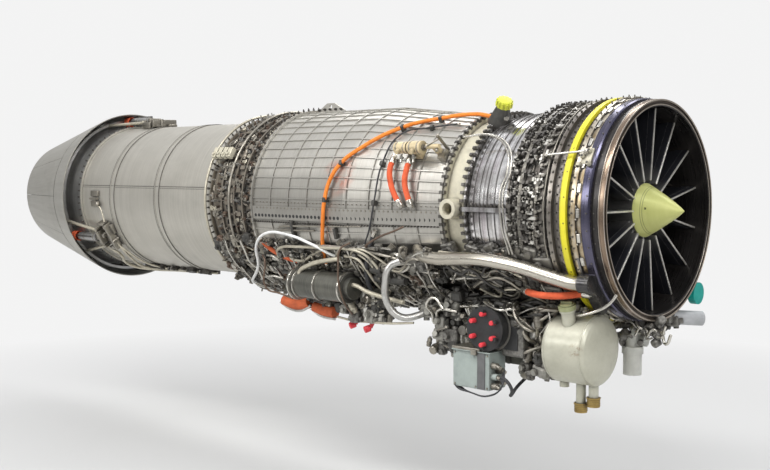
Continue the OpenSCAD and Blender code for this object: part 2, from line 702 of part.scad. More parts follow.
module inner_petals() {
    throat_s = 3560;
    throat_r = 276;
    front_r = pipe_r - pipe_wall - seat;
    gap = 2.4;
    color("dimgray") difference() {
        turned([
            [front_r - 5, pipe_end_s + 2], [front_r, pipe_end_s + 2], [front_r, pipe_end_s + 19],
            [throat_r + 5, throat_s], [exit_r - 13, exit_s - 30], [exit_r - 18, exit_s - 30], [throat_r, throat_s],
            [front_r - 5, pipe_end_s + 18]
        ]);
        for (i = [0 : petal_count - 1]) at(0, 0, i * petal_step)
            translate([200, -gap / 2, pipe_end_s + 60]) cube([200, gap, exit_s - pipe_end_s]);
    }
}

module actuators() {
    front_s = 3060;
    body_s = 3225;
    color("gray") for (a = actuator_angles) {
        difference() {
            union() {
                at(front_s, actuator_line_r, a) cylinder(r = actuator_r, h = body_s - front_s);
                at(front_s + 20, 0, a) translate([pipe_r + seat, -14, 0]) cube([actuator_line_r - pipe_r, 28, 40]);
            }
            at(front_s + 40, actuator_line_r, a) cylinder(r = rod_r + run_fit, h = body_s);
            turned([[0, front_s - 20], [pipe_r + seat, front_s - 20], [pipe_r + seat, front_s + 100], [0, front_s + 100]]);
        }
    }
}

module nozzle_ring() {
    ring_w = 20;
    color("gray") union() {
        ring(ring_s, ring_s + ring_w, 402, 416);
        for (a = actuator_angles) at(3155, actuator_line_r, a) cylinder(r = rod_r, h = ring_s - 3155 + 8);
    }
}

module outer_flap(i) {
    half = petal_step / 2 - 0.12;
    lug_w = 36;
    inner = petal_wall;
    color("lightgray") difference() {
        union() {
            intersection() {
                turned([
                    [cone_r(flap_front_s) - inner, flap_front_s], [cone_r(flap_front_s), flap_front_s],
                    [exit_r, exit_s], [exit_r - inner, exit_s]
                ]);
                along() rotate([0, 0, -(i + 0.5) * petal_step]) linear_extrude(exit_s + 50)
                    polygon([[0, 0], [600 * cos(half), 600 * sin(half)], [600 * cos(half), -600 * sin(half)]]);
            }
            at(hinge_s, hinge_ring_r, (i + 0.5) * petal_step) {
                rotate([90, 0, 0]) cylinder(r = hinge_r + 5, h = lug_w, center = true, $fn = 32);
                translate([4, -lug_w / 2, -2]) cube([5, lug_w, 24]);
            }
        }
        at(hinge_s, hinge_ring_r, (i + 0.5) * petal_step) rotate([90, 0, 0])
            cylinder(r = hinge_r + run_fit, h = lug_w + 20, center = true, $fn = 32);
    }
}

module gearbox_housing() {
    p = gearbox_pos;
    color("gray") difference() {
        union() {
            translate([p[0] - gearbox_len / 2, p[1] - gearbox_w / 2, p[2] - gearbox_h / 2])
                cube([gearbox_len, gearbox_w, gearbox_h]);
            translate([-tower_s, 0, p[2] + gearbox_h / 2 - 2]) cylinder(r = 34, h = 120);
            for (x = [-150, 0, 150]) translate([p[0] + x - 6, p[1] - gearbox_w / 2 - 8, p[2] - gearbox_h / 2])
                cube([12, gearbox_w + 16, gearbox_h]);
            for (side = [-1, 1]) translate([-tower_s - 18, side * 120 - 12, p[2] + gearbox_h / 2 - 2])
                cube([36, 24, 130]);
        }
        translate([p[0] - gearbox_len / 2 + gearbox_wall, p[1] - gearbox_w / 2 + gearbox_wall,
            p[2] - gearbox_h / 2 + gearbox_wall])
            cube([gearbox_len - 2 * gearbox_wall, gearbox_w - 2 * gearbox_wall, gearbox_h - 2 * gearbox_wall]);
        translate([-tower_s, 0, p[2]]) cylinder(r = tower_r + run_fit, h = 200);
        ring(mid_s, duct_s, 0, frame_barrel_r + seat);
    }
}

module oil_tank() {
    p = tank_pos;
    dome = 38;
    steps = 8;
    shape = concat(
        [for (i = [0 : steps]) let (a = 90 * i / steps) [tank_r * sin(a), -tank_len / 2 - dome * cos(a)]],
        [for (i = [0 : steps]) let (a = 90 * (1 - i / steps)) [tank_r * sin(a), tank_len / 2 + dome * cos(a)]]
    );
    hollow = concat(
        [for (i = [0 : steps]) let (a = 90 * i / steps)
            [(tank_r - tank_wall) * sin(a), -tank_len / 2 - (dome - tank_wall) * cos(a)]],
        [for (i = [0 : steps]) let (a = 90 * (1 - i / steps))
            [(tank_r - tank_wall) * sin(a), tank_len / 2 + (dome - tank_wall) * cos(a)]]
    );
    color("khaki") difference() {
        union() {
            translate(p) rotate([0, 90, 0]) rotate_extrude($fn = 96) polygon(shape);
            translate(filler_pos) rotate([filler_lean, 0, 0]) {
                translate([0, 0, -50]) cylinder(r = 24, h = 74);
                translate([0, 0, 16]) cylinder(r = 28, h = 8);
            }
            for (q = [[-62, 20], [6, 70], [56, 44]]) translate([p[0] + q[0], p[1], p[2] - tank_r - q[1]])
                cylinder(r = spigot_r, h = q[1] + 20);
            for (q = [[6, 70], [56, 44]]) translate([p[0] + q[0], p[1], p[2] - tank_r - q[1] - 30])
                cylinder(r = spigot_r + 5, h = 32);
            for (s = [front_case_s, fan_case_s]) translate([-s - 7, p[1], p[2]]) rotate([tank_lean, 0, 0])
                translate([0, -16, tank_r - 6]) cube([14, 32, 60]);
        }
        translate(p) rotate([0, 90, 0]) rotate_extrude($fn = 96) polygon(hollow);
        ring(20, belt_s, 0, frame_band_r + 8 + seat);
        ring(belt_s, 300, 0, fan_case_front_r + flange_h + seat);
    }
}

module filler_cap() {
    color("yellowgreen") translate(filler_pos) rotate([filler_lean, 0, 0]) union() {
        translate([0, 0, 24]) cylinder(r = 30, h = 14);
        translate([0, 0, 36]) cylinder(r = 24, h = 8);
        translate([-20, -4, 42]) cube([40, 8, 10]);
    }
}

module control_box() {
    x0 = -650;
    y0 = -350;
    z0 = -655;
    color("lightslategray") union() {
        translate([x0, y0, z0]) cube([box_l, box_d, box_h]);
        translate([x0 - 5, y0 - 5, z0 + box_h]) cube([box_l + 10, box_d + 10, 4]);
        for (y = [20, 50]) translate([x0 + box_l - 1, y0 + y, z0 + 50]) rotate([0, 90, 0]) cylinder(r = 12, h = 26);
        translate([x0 + 50, y0 + box_d - 2, z0 + 80]) cube([60, gearbox_pos[1] - gearbox_w / 2 - y0 - box_d + 2, 50]);
    }
}

module filter_bowl() {
    p = [-100, -10, -470];
    color("ivory") union() {
        translate(p + [0, 0, -120]) cylinder(r = 33, h = 80);
        translate(p + [0, 0, -44]) cylinder(r = 38, h = 26);
        translate(p + [0, 0, -20]) cylinder(r = 26, h = 50);
        intersection() {
            translate(p + [-22, -22, 28]) cube([44, 44, 60]);
            ring(20, front_case_s - flange_t - 6, frame_band_r + seat, 600);
        }
        translate(p + [-70, 16, 4]) rotate([0, 90, 0]) cylinder(r = 20, h = 62);
        translate(p + [10, 16, 4]) rotate([0, 90, 0]) cylinder(r = 22, h = 36);
    }
}

module pad_cover() {
    color("black") union() {
        translate([pad_pos[0], pad_face_y, pad_pos[1]]) rotate([90, 0, 0]) cylinder(r = pad_r, h = 40);
        translate([pad_pos[0], pad_face_y - 38, pad_pos[1]]) rotate([90, 0, 0]) cylinder(r = pad_r + 3, h = 10);
        for (i = [0 : 5]) translate([pad_pos[0] + (pad_r - 14) * sin(i * 60), pad_face_y - 46,
            pad_pos[1] + (pad_r - 14) * cos(i * 60)]) rotate([90, 0, 0]) cylinder(r = 8, h = 20, $fn = 24);
    }
}

module alternator() {
    base_y = gearbox_pos[1] - gearbox_w / 2 - 8;
    len1 = base_y - pad_face_y;
    color("darkgray") difference() {
        union() {
            translate([pad_pos[0], base_y, pad_pos[1]]) rotate([90, 0, 0]) cylinder(r = pad_r - 14, h = len1);
            translate([pad_pos[0], base_y, pad_pos[1]]) rotate([90, 0, 0]) cylinder(r = pad_r - 6, h = 10);
            translate([pad_pos[0], pad_face_y + 9, pad_pos[1]]) rotate([90, 0, 0]) cylinder(r = pad_r - 4, h = 9);
        }
        translate([pad_pos[0], base_y - 20, pad_pos[1]]) rotate([90, 0, 0]) cylinder(r = pad_r - 24, h = len1);
        translate([pad_pos[0] + 10, base_y - 70, pad_pos[1] - 25]) cube([80, 40, 50]);
    }
}

module fuel_pump() {
    p = [-1180, -360, -335];
    color("dimgray") difference() {
        union() {
            translate(p) rotate([0, -90, 0]) cylinder(r = pump_r, h = pump_len);
            translate(p + [-pump_len, 0, 0]) rotate([0, -90, 0]) cylinder(r = pump_r + 8, h = 16);
            translate(p + [26, 0, 0]) rotate([0, -90, 0]) cylinder(r = pump_r - 16, h = 30);
            for (x = [60, pump_len - 60]) translate(p + [-x - 15, 0, 0]) rotate([-47, 0, 0]) translate([0, -20, 0])
                cube([30, 40, 120]);
            translate(p + [-130, 0, -70]) cylinder(r = 20, h = 40);
        }
        ring(duct_knee_s, duct_end_s - flange_t, 0, duct_r + rib_h + seat);
    }
}

// Space that the gearbox fills
module gearbox_envelope() {
    translate([gearbox_pos[0] - gearbox_len / 2 - seat, gearbox_pos[1] - gearbox_w / 2 - seat,
        gearbox_pos[2] - gearbox_h / 2 - seat])
        cube([gearbox_len + 2 * seat, gearbox_w + 2 * seat, gearbox_h + 2 * seat]);
}

module air_duct() {
    r = 25;
    pts = smooth([for (q = air_duct_route) pt(q[0], q[1], q[2])], 3);
    color("silver") difference() {
        sweep_tube(pts, r, 12);
        duct_envelope();
        at(0, 0, 0) cylinder(r = 500, h = manifold_end_s + seat);
    }
}

module twin_valve() {
    a = 58;
    r = 428;
    color("wheat") difference() {
        union() {
            at(790, r, a) cylinder(r = 25, h = 62);
            at(862, r, a) cylinder(r = 23, h = 60);
            at(848, r, a) cylinder(r = 19, h = 20);
            at(850, r - 70, a) translate([0, -16, -24]) cube([60, 32, 50]);
            for (s = [822, 896]) at(s, r, a) rotate([0, 0, -60]) rotate([0, 90, 0]) cylinder(r = 9, h = 38);
            at(718, r - 6, a - 1) cylinder(r = 9, h = 74);
            at(740, r - 80, a - 1) translate([0, -9, -12]) cube([78, 18, 24]);
        }
        duct_envelope();
    }
}
// Space that the ribbed duct fills
module duct_envelope() {
    turned([[0, duct_s], [skin_r(duct_s) + flange_h + seat, duct_s],
        [skin_r(duct_s) + flange_h + seat, duct_s + flange_t + 6],
        [skin_r(duct_s + flange_t + 6) + rib_h + seat, duct_s + flange_t + 6],
        [duct_r + rib_h + seat, duct_knee_s], [duct_r + rib_h + seat, duct_end_s], [0, duct_end_s]]);
}

// Hose with clamps that stand on the duct at some of its route points
module clamped(route, r, clamps) {
    routed(route, r);
    for (k = clamps) let (q = route[k]) at(q[0], over_r(q[0]) + seat, q[2])
        translate([0, -6, -5]) cube([q[1] - over_r(q[0]), 12, 10]);
}

module hoses() {
    color("orangered") union() {
        clamped(orange_route, 8, [3, 6]);
        clamped(sleeve_a_route, 11, [0, 4]);
        clamped(sleeve_b_route, 11, [0, 4]);
        clamped(rust_sleeve_route, 9, [0, 3]);
        clamped(white_route, 6, [9]);
        clamped(black_route, 3.5, [1, 3]);
        clamped(dark_hose_route, 9, [0]);
        difference() {
            routed(fire_sleeve_route, 12);
            at(0, 0, 0) cylinder(r = 500, h = manifold_end_s + seat);
        }
        difference() {
            sweep_tube(smooth(loop_points, 3), 6);
            gearbox_envelope();
        }
    }
}

module steel_pipes() {
    color("silver") union() {
        for (q = [[2074, 400, pipe_r + seat], [duct_end_s + 152, 412, 388 + seat]]) {
            along() translate([0, 0, q[0]]) rotate_extrude($fn = 96) translate([q[1], 0]) circle(r = 6, $fn = 16);
            for (i = [0 : 5]) at(q[0], q[2], i * 60) rotate([0, 90, 0]) cylinder(r = 4, h = q[1] - q[2], $fn = 24);
        }
        difference() {
            sweep_tube(smooth([[-cap_end_s + 4, cap_y, cap_z], [-170, 300, -325], [-250, 250, -370], [-290, 170, -440],
                [-gearbox_x0 + 40, 110, -480], [-gearbox_x0 - 6, 110, -480]], 3), 16);
            gearbox_envelope();
            at(0, 0, 0) cylinder(r = 600, h = cap_end_s + seat);
        }
    }
}

module transit_caps() {
    color("teal") union() {
        translate([-30, cap_y, cap_z]) rotate([0, 90, 0]) cylinder(r = 41, h = 26);
        translate([-cap_end_s, cap_y, cap_z]) rotate([0, 90, 0]) cylinder(r = 20, h = 62);
    }
}

// Rows of flange bolts as [station, radius, count, first clock angle left out, last clock angle left out]
module flange_bolts() {
    h = 5;
    rows = [
        [front_case_s - flange_t - h, frame_band_r + 4.6, 60, 110, 150],
        [fan_case_s + flange_t, fan_case_front_r + 8, 72, 400, 400],
        [mid_s - flange_t - h, fan_case_rear_r + 7, 60, 400, 400],
        [duct_s + flange_t, duct_front_r + flange_h - 4.5, 60, 88, 106],
        [duct_end_s + flange_t, duct_r + 6, 72, 400, 400],
        [pipe_front_s + flange_t, pipe_r + 8, 60, 400, 400]
    ];
    color("dimgray") for (q = rows) for (i = [0 : q[2] - 1]) let (a = (i + 0.5) * 360 / q[2])
        if ((a < q[3] || a > q[4]) && (360 - a < q[3] || 360 - a > q[4] || q[3] > 100))
            at(q[0], q[1], a) cylinder(r = 4.2, h = h, $fn = 6);
}

module bearings() {
    color("silver") {
        ring(128, 152, lp_shaft_r + run_fit, 72 - seat);
        ring(mid_s + 14, mid_s + 32, hp_shaft_r + 8 + run_fit, 100 - seat);
        ring(core_end_s + 20, core_end_s + 48, lp_shaft_r + run_fit, 92 - seat);
    }
}

module fan_rotor() {
    stages = [240, 358, 490];
    counts = [24, 28, 32];
    color("dimgray") union() {
        turned([
            [20, 120], [lp_shaft_r, 120], [lp_shaft_r, 172], [100, 190], [128, 205], [150, 270], [168, 274],
            [168, 312], [166, 320], [172, 390], [168, 396], [168, 452], [176, 460], [182, 522], [170, 526],
            [60, 540], [lp_shaft_r, 560], [lp_shaft_r, 590], [20, 590]
        ]);
        for (k = [0 : 2]) blades(counts[k], stages[k], 132 + k * 18, tip_r(stages[k] + 26) - tip_gap, 52 - k * 6, 5, 34);
    }
}

module low_pressure_turbine() {
    color("dimgray") union() {
        turned([[20, 590], [lp_shaft_r, 590], [lp_shaft_r, 1560], [70, 1570], [142, 1582], [142, 1624], [60, 1630],
            [lp_shaft_r, 1640], [lp_shaft_r, 1716], [20, 1716]]);
        blades(30, 1603, 140, 228 - tip_gap, 36, 5, -34);
    }
}

module compressor_rotor() {
    color("dimgray") union() {
        turned(concat(
            [[hp_bore_r, mid_s + 12], [hp_shaft_r + 8, mid_s + 12], [hp_shaft_r + 8, duct_s + 10], [100, duct_s + 26]],
            [[108, 745], [108, burner_s - 10], [hp_shaft_r, burner_s + 10], [hp_shaft_r, turbine_s - 4],
                [hp_bore_r, turbine_s - 4]]
        ));
        for (i = [0 : 6]) blades(20, 749 + i * 62, 106, core_r - i * 4 - 6, 20, 3, 34);
    }
}

module high_pressure_turbine() {
    color("dimgray") union() {
        turned([[hp_bore_r, turbine_s - 4], [hp_shaft_r + 12, turbine_s - 4], [hp_shaft_r + 12, turbine_s + 56],
            [150, turbine_s + 60], [150, turbine_s + 100], [hp_bore_r, turbine_s + 104]]);
        blades(30, turbine_s + 80, 148, 222 - tip_gap, 34, 5, -34);
    }
}

module tower_shaft() {
    top_z = -(hp_shaft_r + 16);
    bottom_z = gearbox_pos[2] - gearbox_h / 2 + gearbox_wall + 20;
    color("silver") union() {
        translate([-tower_s, 0, bottom_z]) cylinder(r = tower_r, h = top_z - bottom_z);
        translate([-tower_s, 0, bottom_z + 12]) cylinder(r = 46, h = 16);
    }
}

inlet_ring();
front_frame();
nose_cone();
front_case();
ring_band();
fan_case_upper();
fan_case_lower();
vane_ring();
middle_frame();
bypass_duct_upper();
bypass_duct_lower();
compressor_case();
combustor_case();
combustor_liner();
fuel_nozzles();
turbine_case();
turbine_frame();
tail_cone();
rear_duct();
spray_bars();
flame_holder();
jet_pipe();
jet_pipe_liner();
nozzle_support();
nozzle_fairing();
inner_petals();
actuators();
gearbox_housing();
oil_tank();
control_box();
filter_bowl();
pad_cover();
alternator();
fuel_pump();
air_duct();
twin_valve();
hoses();
steel_pipes();
transit_caps();
flange_bolts();
bearings();
fan_rotor();
low_pressure_turbine();
compressor_rotor();
high_pressure_turbine();
tower_shaft();
filler_cap();
nozzle_ring();
for (i = [0 : petal_count - 1]) outer_flap(i);
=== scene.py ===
"""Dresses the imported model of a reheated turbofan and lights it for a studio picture."""

import json
import logging
import math
import random
from dataclasses import dataclass
from enum import Enum
from typing import Callable, Iterable, Sequence

import bpy
import numpy as np
from mathutils import Euler, Matrix, Vector

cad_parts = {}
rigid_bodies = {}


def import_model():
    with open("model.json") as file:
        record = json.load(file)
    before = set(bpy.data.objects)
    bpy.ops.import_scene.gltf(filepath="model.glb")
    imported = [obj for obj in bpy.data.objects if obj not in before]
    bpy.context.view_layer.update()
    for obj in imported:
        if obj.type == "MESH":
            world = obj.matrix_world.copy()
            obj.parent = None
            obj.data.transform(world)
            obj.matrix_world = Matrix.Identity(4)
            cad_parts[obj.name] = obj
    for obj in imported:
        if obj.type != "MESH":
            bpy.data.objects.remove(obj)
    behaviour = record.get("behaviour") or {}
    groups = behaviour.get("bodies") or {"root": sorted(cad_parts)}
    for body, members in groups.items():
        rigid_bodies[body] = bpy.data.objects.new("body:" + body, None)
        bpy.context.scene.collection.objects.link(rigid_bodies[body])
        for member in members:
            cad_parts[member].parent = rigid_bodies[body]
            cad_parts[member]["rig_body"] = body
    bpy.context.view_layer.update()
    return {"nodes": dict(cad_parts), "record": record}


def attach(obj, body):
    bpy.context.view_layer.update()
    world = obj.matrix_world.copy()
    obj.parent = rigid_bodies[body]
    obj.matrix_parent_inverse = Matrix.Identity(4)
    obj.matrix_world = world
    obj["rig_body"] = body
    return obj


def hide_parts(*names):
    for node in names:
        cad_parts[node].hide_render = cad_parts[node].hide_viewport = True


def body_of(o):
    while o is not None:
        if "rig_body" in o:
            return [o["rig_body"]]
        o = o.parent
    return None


logging.basicConfig(level=logging.INFO, format="%(message)s")
log = logging.getLogger("engine")

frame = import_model()
MM = 0.001
TURN = 360.0  # clock degrees of a full turn
RING_STEPS = 160  # steps of a spun ring
SOLID_ANGLE = 32.0  # edges of the solids below this angle in degrees are shaded smooth
PAD_X, PAD_Z = -0.509, -0.432  # axis of the gearbox's round pad, in metres
TANK_AXIS = (-250.0, -474.0)  # y and z of the oil tank's axis, in millimetres
PUMP_AXIS = (-360.0, -335.0)  # y and z of the fuel pump's axis
ACTUATOR_R = 409.0  # radius of the actuators' axes
WHITE = 0.90  # what the eye sees beyond the floor
Obj = bpy.types.Object
Colour = tuple[float, float, float]
Point = tuple[float, float, float]


def place(s: float, r: float, a: float) -> Vector:
    """Point in metres from a station and radius in millimetres and a clock angle in degrees."""
    t = math.radians(a)
    return Vector((-s, -r * math.sin(t), r * math.cos(t))) * MM


def stand(s: float, r: float, a: float, turn: float = 0.0) -> Matrix:
    """Matrix that stands a template on the engine, its z pointing outwards and its x forward.

    Args:
        s: Station in millimetres.
        r: Radius in millimetres.
        a: Clock angle in degrees.
        turn: Turn about the outward direction in degrees.

    Returns:
        The placing matrix.
    """
    spin = Matrix.Rotation(math.radians(a), 4, "X")
    return Matrix.Translation(place(s, r, a)) @ spin @ Matrix.Rotation(math.radians(turn), 4, "Z")


def mm(x: float, y: float, z: float) -> Vector:
    """Point in metres from millimetres."""
    return Vector((x, y, z)) * MM


def up(height: float) -> Vector:
    """Point at a height in metres over a template's foot."""
    return Vector((0, 0, height))


def tilt(a: float) -> Euler:
    """Turn of a block that stands on the engine at a clock angle."""
    return Euler((math.radians(a), 0, 0))


def trail(points: Iterable[Point]) -> list[Vector]:
    """Points in metres from stations, radii and clock angles."""
    return [place(*q) for q in points]


def spots_mm(points: Iterable[Point]) -> list[Vector]:
    """Points in metres from points in millimetres."""
    return [mm(*q) for q in points]


# ---------------------------------------------------------------- shader tools
class Val:
    """A socket with arithmetic."""

    def __init__(self, graph: "Graph", socket: bpy.types.NodeSocket) -> None:
        """Wraps a socket of a graph."""
        self.graph = graph
        self.socket = socket

    def _math(self, kind: str, *others: "Val | float") -> "Val":
        """Adds a Math node with this value first."""
        return self.graph.add("ShaderNodeMath", {"operation": kind}, [self, *others])

    def __add__(self, o: "Val | float") -> "Val":
        """Sum."""
        return self._math("ADD", o)

    __radd__ = __add__

    def __sub__(self, o: "Val | float") -> "Val":
        """Difference."""
        return self._math("SUBTRACT", o)

    def __rsub__(self, o: float) -> "Val":
        """A number minus this value."""
        return self.graph.add("ShaderNodeMath", {"operation": "SUBTRACT"}, [o, self])

    def __mul__(self, o: "Val | float") -> "Val":
        """Product."""
        return self._math("MULTIPLY", o)

    __rmul__ = __mul__

    def __lt__(self, o: "Val | float") -> "Val":
        """One where this is less."""
        return self._math("LESS_THAN", o)

    def call(self, kind: str, *others: "Val | float") -> "Val":
        """Any other Math operation."""
        return self._math(kind, *others)

    def other(self, name: str) -> "Val":
        """Another output of the same node."""
        return Val(self.graph, self.socket.node.outputs[name])

    def ramp(self, low: float, high: float) -> "Val":
        """Clamped linear ramp from low to high."""
        return self.graph.add("ShaderNodeMapRange", {"clamp": True}, {0: self, 1: low, 2: high, 3: 0.0, 4: 1.0})

    def band(self, centre: float, half: float) -> "Val":
        """One within half of a centre."""
        return (self - centre).call("ABSOLUTE") < half


class Graph:
    """The node tree of one material or world."""

    def __init__(self, owner: "bpy.types.Material | bpy.types.World") -> None:
        """Empties the owner's tree."""
        self.owner = owner
        owner.use_nodes = True
        self.tree = owner.node_tree
        self.tree.nodes.clear()

    def add(self, kind: str, settings: dict, inputs: "dict | list", out: "int | str" = 0) -> Val:
        """Adds a node.

        Args:
            kind: Node type.
            settings: Its properties, set first.
            inputs: Values or links of its sockets by index or name.
            out: The output wanted.

        Returns:
            The wrapped output.
        """
        node = self.tree.nodes.new(kind)
        for key, value in settings.items():
            setattr(node, key, value)
        pairs = enumerate(inputs) if isinstance(inputs, list) else inputs.items()
        for key, value in pairs:
            self.feed(node.inputs[key], value)
        return Val(self, node.outputs[out])

    def end(self, kind: str, shader: Val) -> None:
        """Adds the output node."""
        self.feed(self.tree.nodes.new(kind).inputs["Surface"], shader)

    def feed(self, socket: bpy.types.NodeSocket, value: "Val | float | Sequence[float]") -> None:
        """Links or sets one socket."""
        if isinstance(value, Val):
            self.tree.links.new(value.socket, socket)
        elif isinstance(value, (tuple, list)) and socket.type == "RGBA":
            socket.default_value = (*value[:3], 1.0)
        else:
            socket.default_value = value

    def mix(self, factor: "Val | float", a: "Val | Colour", b: "Val | Colour") -> Val:
        """Colour between a and b."""
        return self.add("ShaderNodeMix", {"data_type": "RGBA", "clamp_factor": True}, {0: factor, 6: a, 7: b}, 2)

    def coords(self) -> Val:
        """Object coordinates."""
        return self.add("ShaderNodeTexCoord", {}, {}, "Object")

    def noise(self, vector: Val, scale: float, detail: float = 3.0, rough: float = 0.55) -> Val:
        """Noise value from 0 to 1."""
        return self.add("ShaderNodeTexNoise", {}, {"Vector": vector, "Scale": scale, "Detail": detail,
                                                   "Roughness": rough})

    def stretch(self, vector: Val, scale: Point) -> Val:
        """Coordinates scaled along each axis."""
        return self.add("ShaderNodeMapping", {}, {"Vector": vector, "Scale": scale})

    def around(self) -> tuple[Val, Val, Val, Val]:
        """Station, turn about the axis, radius and a vector of the three for wrapped patterns."""
        x = self.add("ShaderNodeSeparateXYZ", {}, [self.coords()], "X")
        y, z = x.other("Y"), x.other("Z")
        turn = self.add("ShaderNodeMath", {"operation": "ARCTAN2"}, [0.0 - y, z])
        radius = (y * y + z * z).call("SQRT")
        vec = self.add("ShaderNodeCombineXYZ", {}, [x, turn * 0.4, radius])
        return 0.0 - x, turn, radius, vec

    def away(self, vector: Val, spot: Point) -> Val:
        """Distance from a spot."""
        return self.add("ShaderNodeVectorMath", {"operation": "DISTANCE"}, [vector, spot], "Value")

    def grime_and_shade(self, reach: float) -> Val:
        """How closed in a point is, from 0 in the open to 1 in a corner, for grime and painted shade."""
        ao = self.add("ShaderNodeAmbientOcclusion", {"samples": 6}, {"Distance": reach}, "AO")
        return 1.0 - ao

    def bump(self, height: Val, strength: float, distance: float) -> Val:
        """Normal from a height."""
        return self.add("ShaderNodeBump", {}, {"Strength": strength, "Distance": distance, "Height": height})

    def surface(self, inputs: dict) -> None:
        """Ends the graph in a Principled surface."""
        shader = self.add("ShaderNodeBsdfPrincipled", {}, inputs)
        self.end("ShaderNodeOutputMaterial", shader)


class Grain(Enum):
    """Direction of the marks in a surface."""

    NONE = 0
    ROUND = 1
    LENGTH = 2


MARKS: dict[Grain, tuple[Point, Point]] = {  # fine and coarse scale along, round and out from the axis
    Grain.ROUND: ((160.0, 1.2, 20.0), (6.0, 9.0, 6.0)),
    Grain.LENGTH: ((2.0, 60.0, 20.0), (3.0, 9.0, 6.0)),
}


@dataclass(frozen=True)
class Metal:
    """A worn metal or painted finish with mottle, streaks, and grime with painted shade in corners.

    A tint round one spot serves as a real stain on the oil tank and as a painted reflection of the orange hose on
    the duct skin, and a painted shade darkens a strip round a clock angle in degrees, given with its half width. The
    colours are linear, the reaches are in metres.
    """

    name: str
    base: Colour
    second: Colour
    rough: float = 0.35
    metallic: float = 1.0
    streak: float = 0.5
    mottle: float = 14.0
    grime_and_shade_amount: float = 0.6
    grain: Grain = Grain.NONE
    grime_and_shade_colour: Colour = (0.05, 0.045, 0.04)
    reach: float = 0.02
    bump: float = 0.25
    coat: float = 0.0
    stain_and_reflection_at: Point | None = None
    stain_and_reflection_reach: float = 0.03
    stain_and_reflection_colour: Colour = (0.20, 0.10, 0.05)
    shade: tuple[float, float] | None = None

    def build(self) -> bpy.types.Material:
        """Returns the finished material."""
        g = Graph(bpy.data.materials.new(self.name))
        obj = g.coords()
        if self.grain is Grain.NONE:
            lines = g.noise(obj, 90.0, 4.0)
            cross = g.noise(obj, self.mottle, 3.0)
        else:
            fine, coarse = MARKS[self.grain]
            _, _, _, wrapped = g.around()
            lines = g.noise(g.stretch(wrapped, fine), 1.0, 4.0)
            cross = g.noise(g.stretch(wrapped, coarse), 1.0, 3.0)
        patch = g.noise(obj, self.mottle * 0.5, 5.0, 0.65)
        blend = (lines * self.streak + cross * (1.0 - self.streak)).ramp(0.32, 0.68)
        colour = g.mix(blend, self.base, self.second)
        stain = patch.ramp(0.52, 0.75) * 0.35
        colour = g.mix(stain, colour, tuple(c * 0.55 for c in self.second))
        # painted shade: a darker strip round one clock angle
        if self.shade:
            _, turn, _, _ = g.around()
            near = 1.0 - (turn - math.radians(self.shade[0])).call("ABSOLUTE").ramp(
                math.radians(self.shade[1] * 0.6), math.radians(self.shade[1]))
            colour = g.mix(near * 0.5, colour, tuple(c * 0.5 for c in self.second))
        # a real stain on the oil tank; on the duct skin the same tint is a painted reflection of the orange hose
        if self.stain_and_reflection_at:
            near = 1.0 - g.away(obj, self.stain_and_reflection_at).ramp(self.stain_and_reflection_reach * 0.4, self.stain_and_reflection_reach)
            scribble = g.noise(obj, 1.6 / self.stain_and_reflection_reach, 5.0, 0.7).ramp(0.48, 0.60)
            colour = g.mix(near * scribble * 0.7, colour, self.stain_and_reflection_colour)
        # grime and painted shade: ambient occlusion darkens corners and crevices towards the dark colour and dulls
        # them
        grime_and_shade = (g.grime_and_shade(self.reach) * 1.6 * (0.6 + patch * 0.8)).ramp(0.12, 0.95) * self.grime_and_shade_amount
        colour = g.mix(grime_and_shade, colour, self.grime_and_shade_colour)
        rough = (lines * 0.18 + self.rough - 0.06 + stain * 0.3 + grime_and_shade * 0.3).ramp(0.0, 1.0)
        inputs = {"Base Color": colour, "Roughness": rough, "Metallic": (1.0 - grime_and_shade * 0.8) * self.metallic,
                  "Normal": g.bump(lines * 0.6 + patch * 0.4, self.bump, 0.0006)}
        if self.coat:
            inputs["Coat Weight"] = self.coat
        g.surface(inputs)
        return g.owner


@dataclass(frozen=True)
class Polished:
    """Turned bare metal with bright, dark and tinted reflections drawn out along and round the engine."""

    name: str
    bright: Colour
    dark: Colour
    tint: Colour
    rough: float = 0.16

    def build(self) -> bpy.types.Material:
        """Returns the finished material."""
        g = Graph(bpy.data.materials.new(self.name))
        _, _, _, wrapped = g.around()
        turned = g.noise(g.stretch(wrapped, (260.0, 1.5, 20.0)), 1.0, 3.0)
        rings = g.noise(g.stretch(wrapped, (55.0, 2.0, 6.0)), 1.0, 4.0, 0.6)
        patches = g.noise(g.stretch(wrapped, (9.0, 13.0, 6.0)), 1.0, 4.0, 0.62)
        blotch = g.noise(g.stretch(wrapped, (24.0, 5.0, 6.0)), 1.0, 3.0)
        light = (rings * 0.50 + patches * 0.50).ramp(0.40, 0.60)
        colour = g.mix(light, self.dark, self.bright)
        colour = g.mix(blotch.ramp(0.50, 0.72) * 0.55, colour, self.tint)
        # painted shade and grime: ambient occlusion darkens the corners almost to black and roughens them
        grime_and_shade = (g.grime_and_shade(0.016) * 1.7).ramp(0.10, 0.90)
        colour = g.mix(grime_and_shade, colour, (0.03, 0.026, 0.022))
        g.surface({"Base Color": colour, "Roughness": turned * 0.16 + self.rough - 0.05 + grime_and_shade * 0.3,
                   "Metallic": 1.0 - grime_and_shade * 0.8, "Normal": g.bump(turned * 0.7 + patches * 0.6, 0.35, 0.0012)})
        return g.owner


@dataclass(frozen=True)
class Hub:
    """Dark intake parts that turn grey towards the hub."""

    name: str
    near: Colour
    far: Colour

    def build(self) -> bpy.types.Material:
        """Returns the finished material."""
        g = Graph(bpy.data.materials.new(self.name))
        _, _, radius, wrapped = g.around()
        streak = g.noise(g.stretch(wrapped, (30.0, 9.0, 4.0)), 1.0, 3.0)
        shade = (radius + streak * 0.05).ramp(0.10, 0.20)
        colour = g.mix(shade, self.near, self.far)
        g.surface({"Base Color": colour, "Roughness": streak * 0.2 + 0.3, "Metallic": 0.5,
                   "Normal": g.bump(streak, 0.2, 0.0008)})
        return g.owner


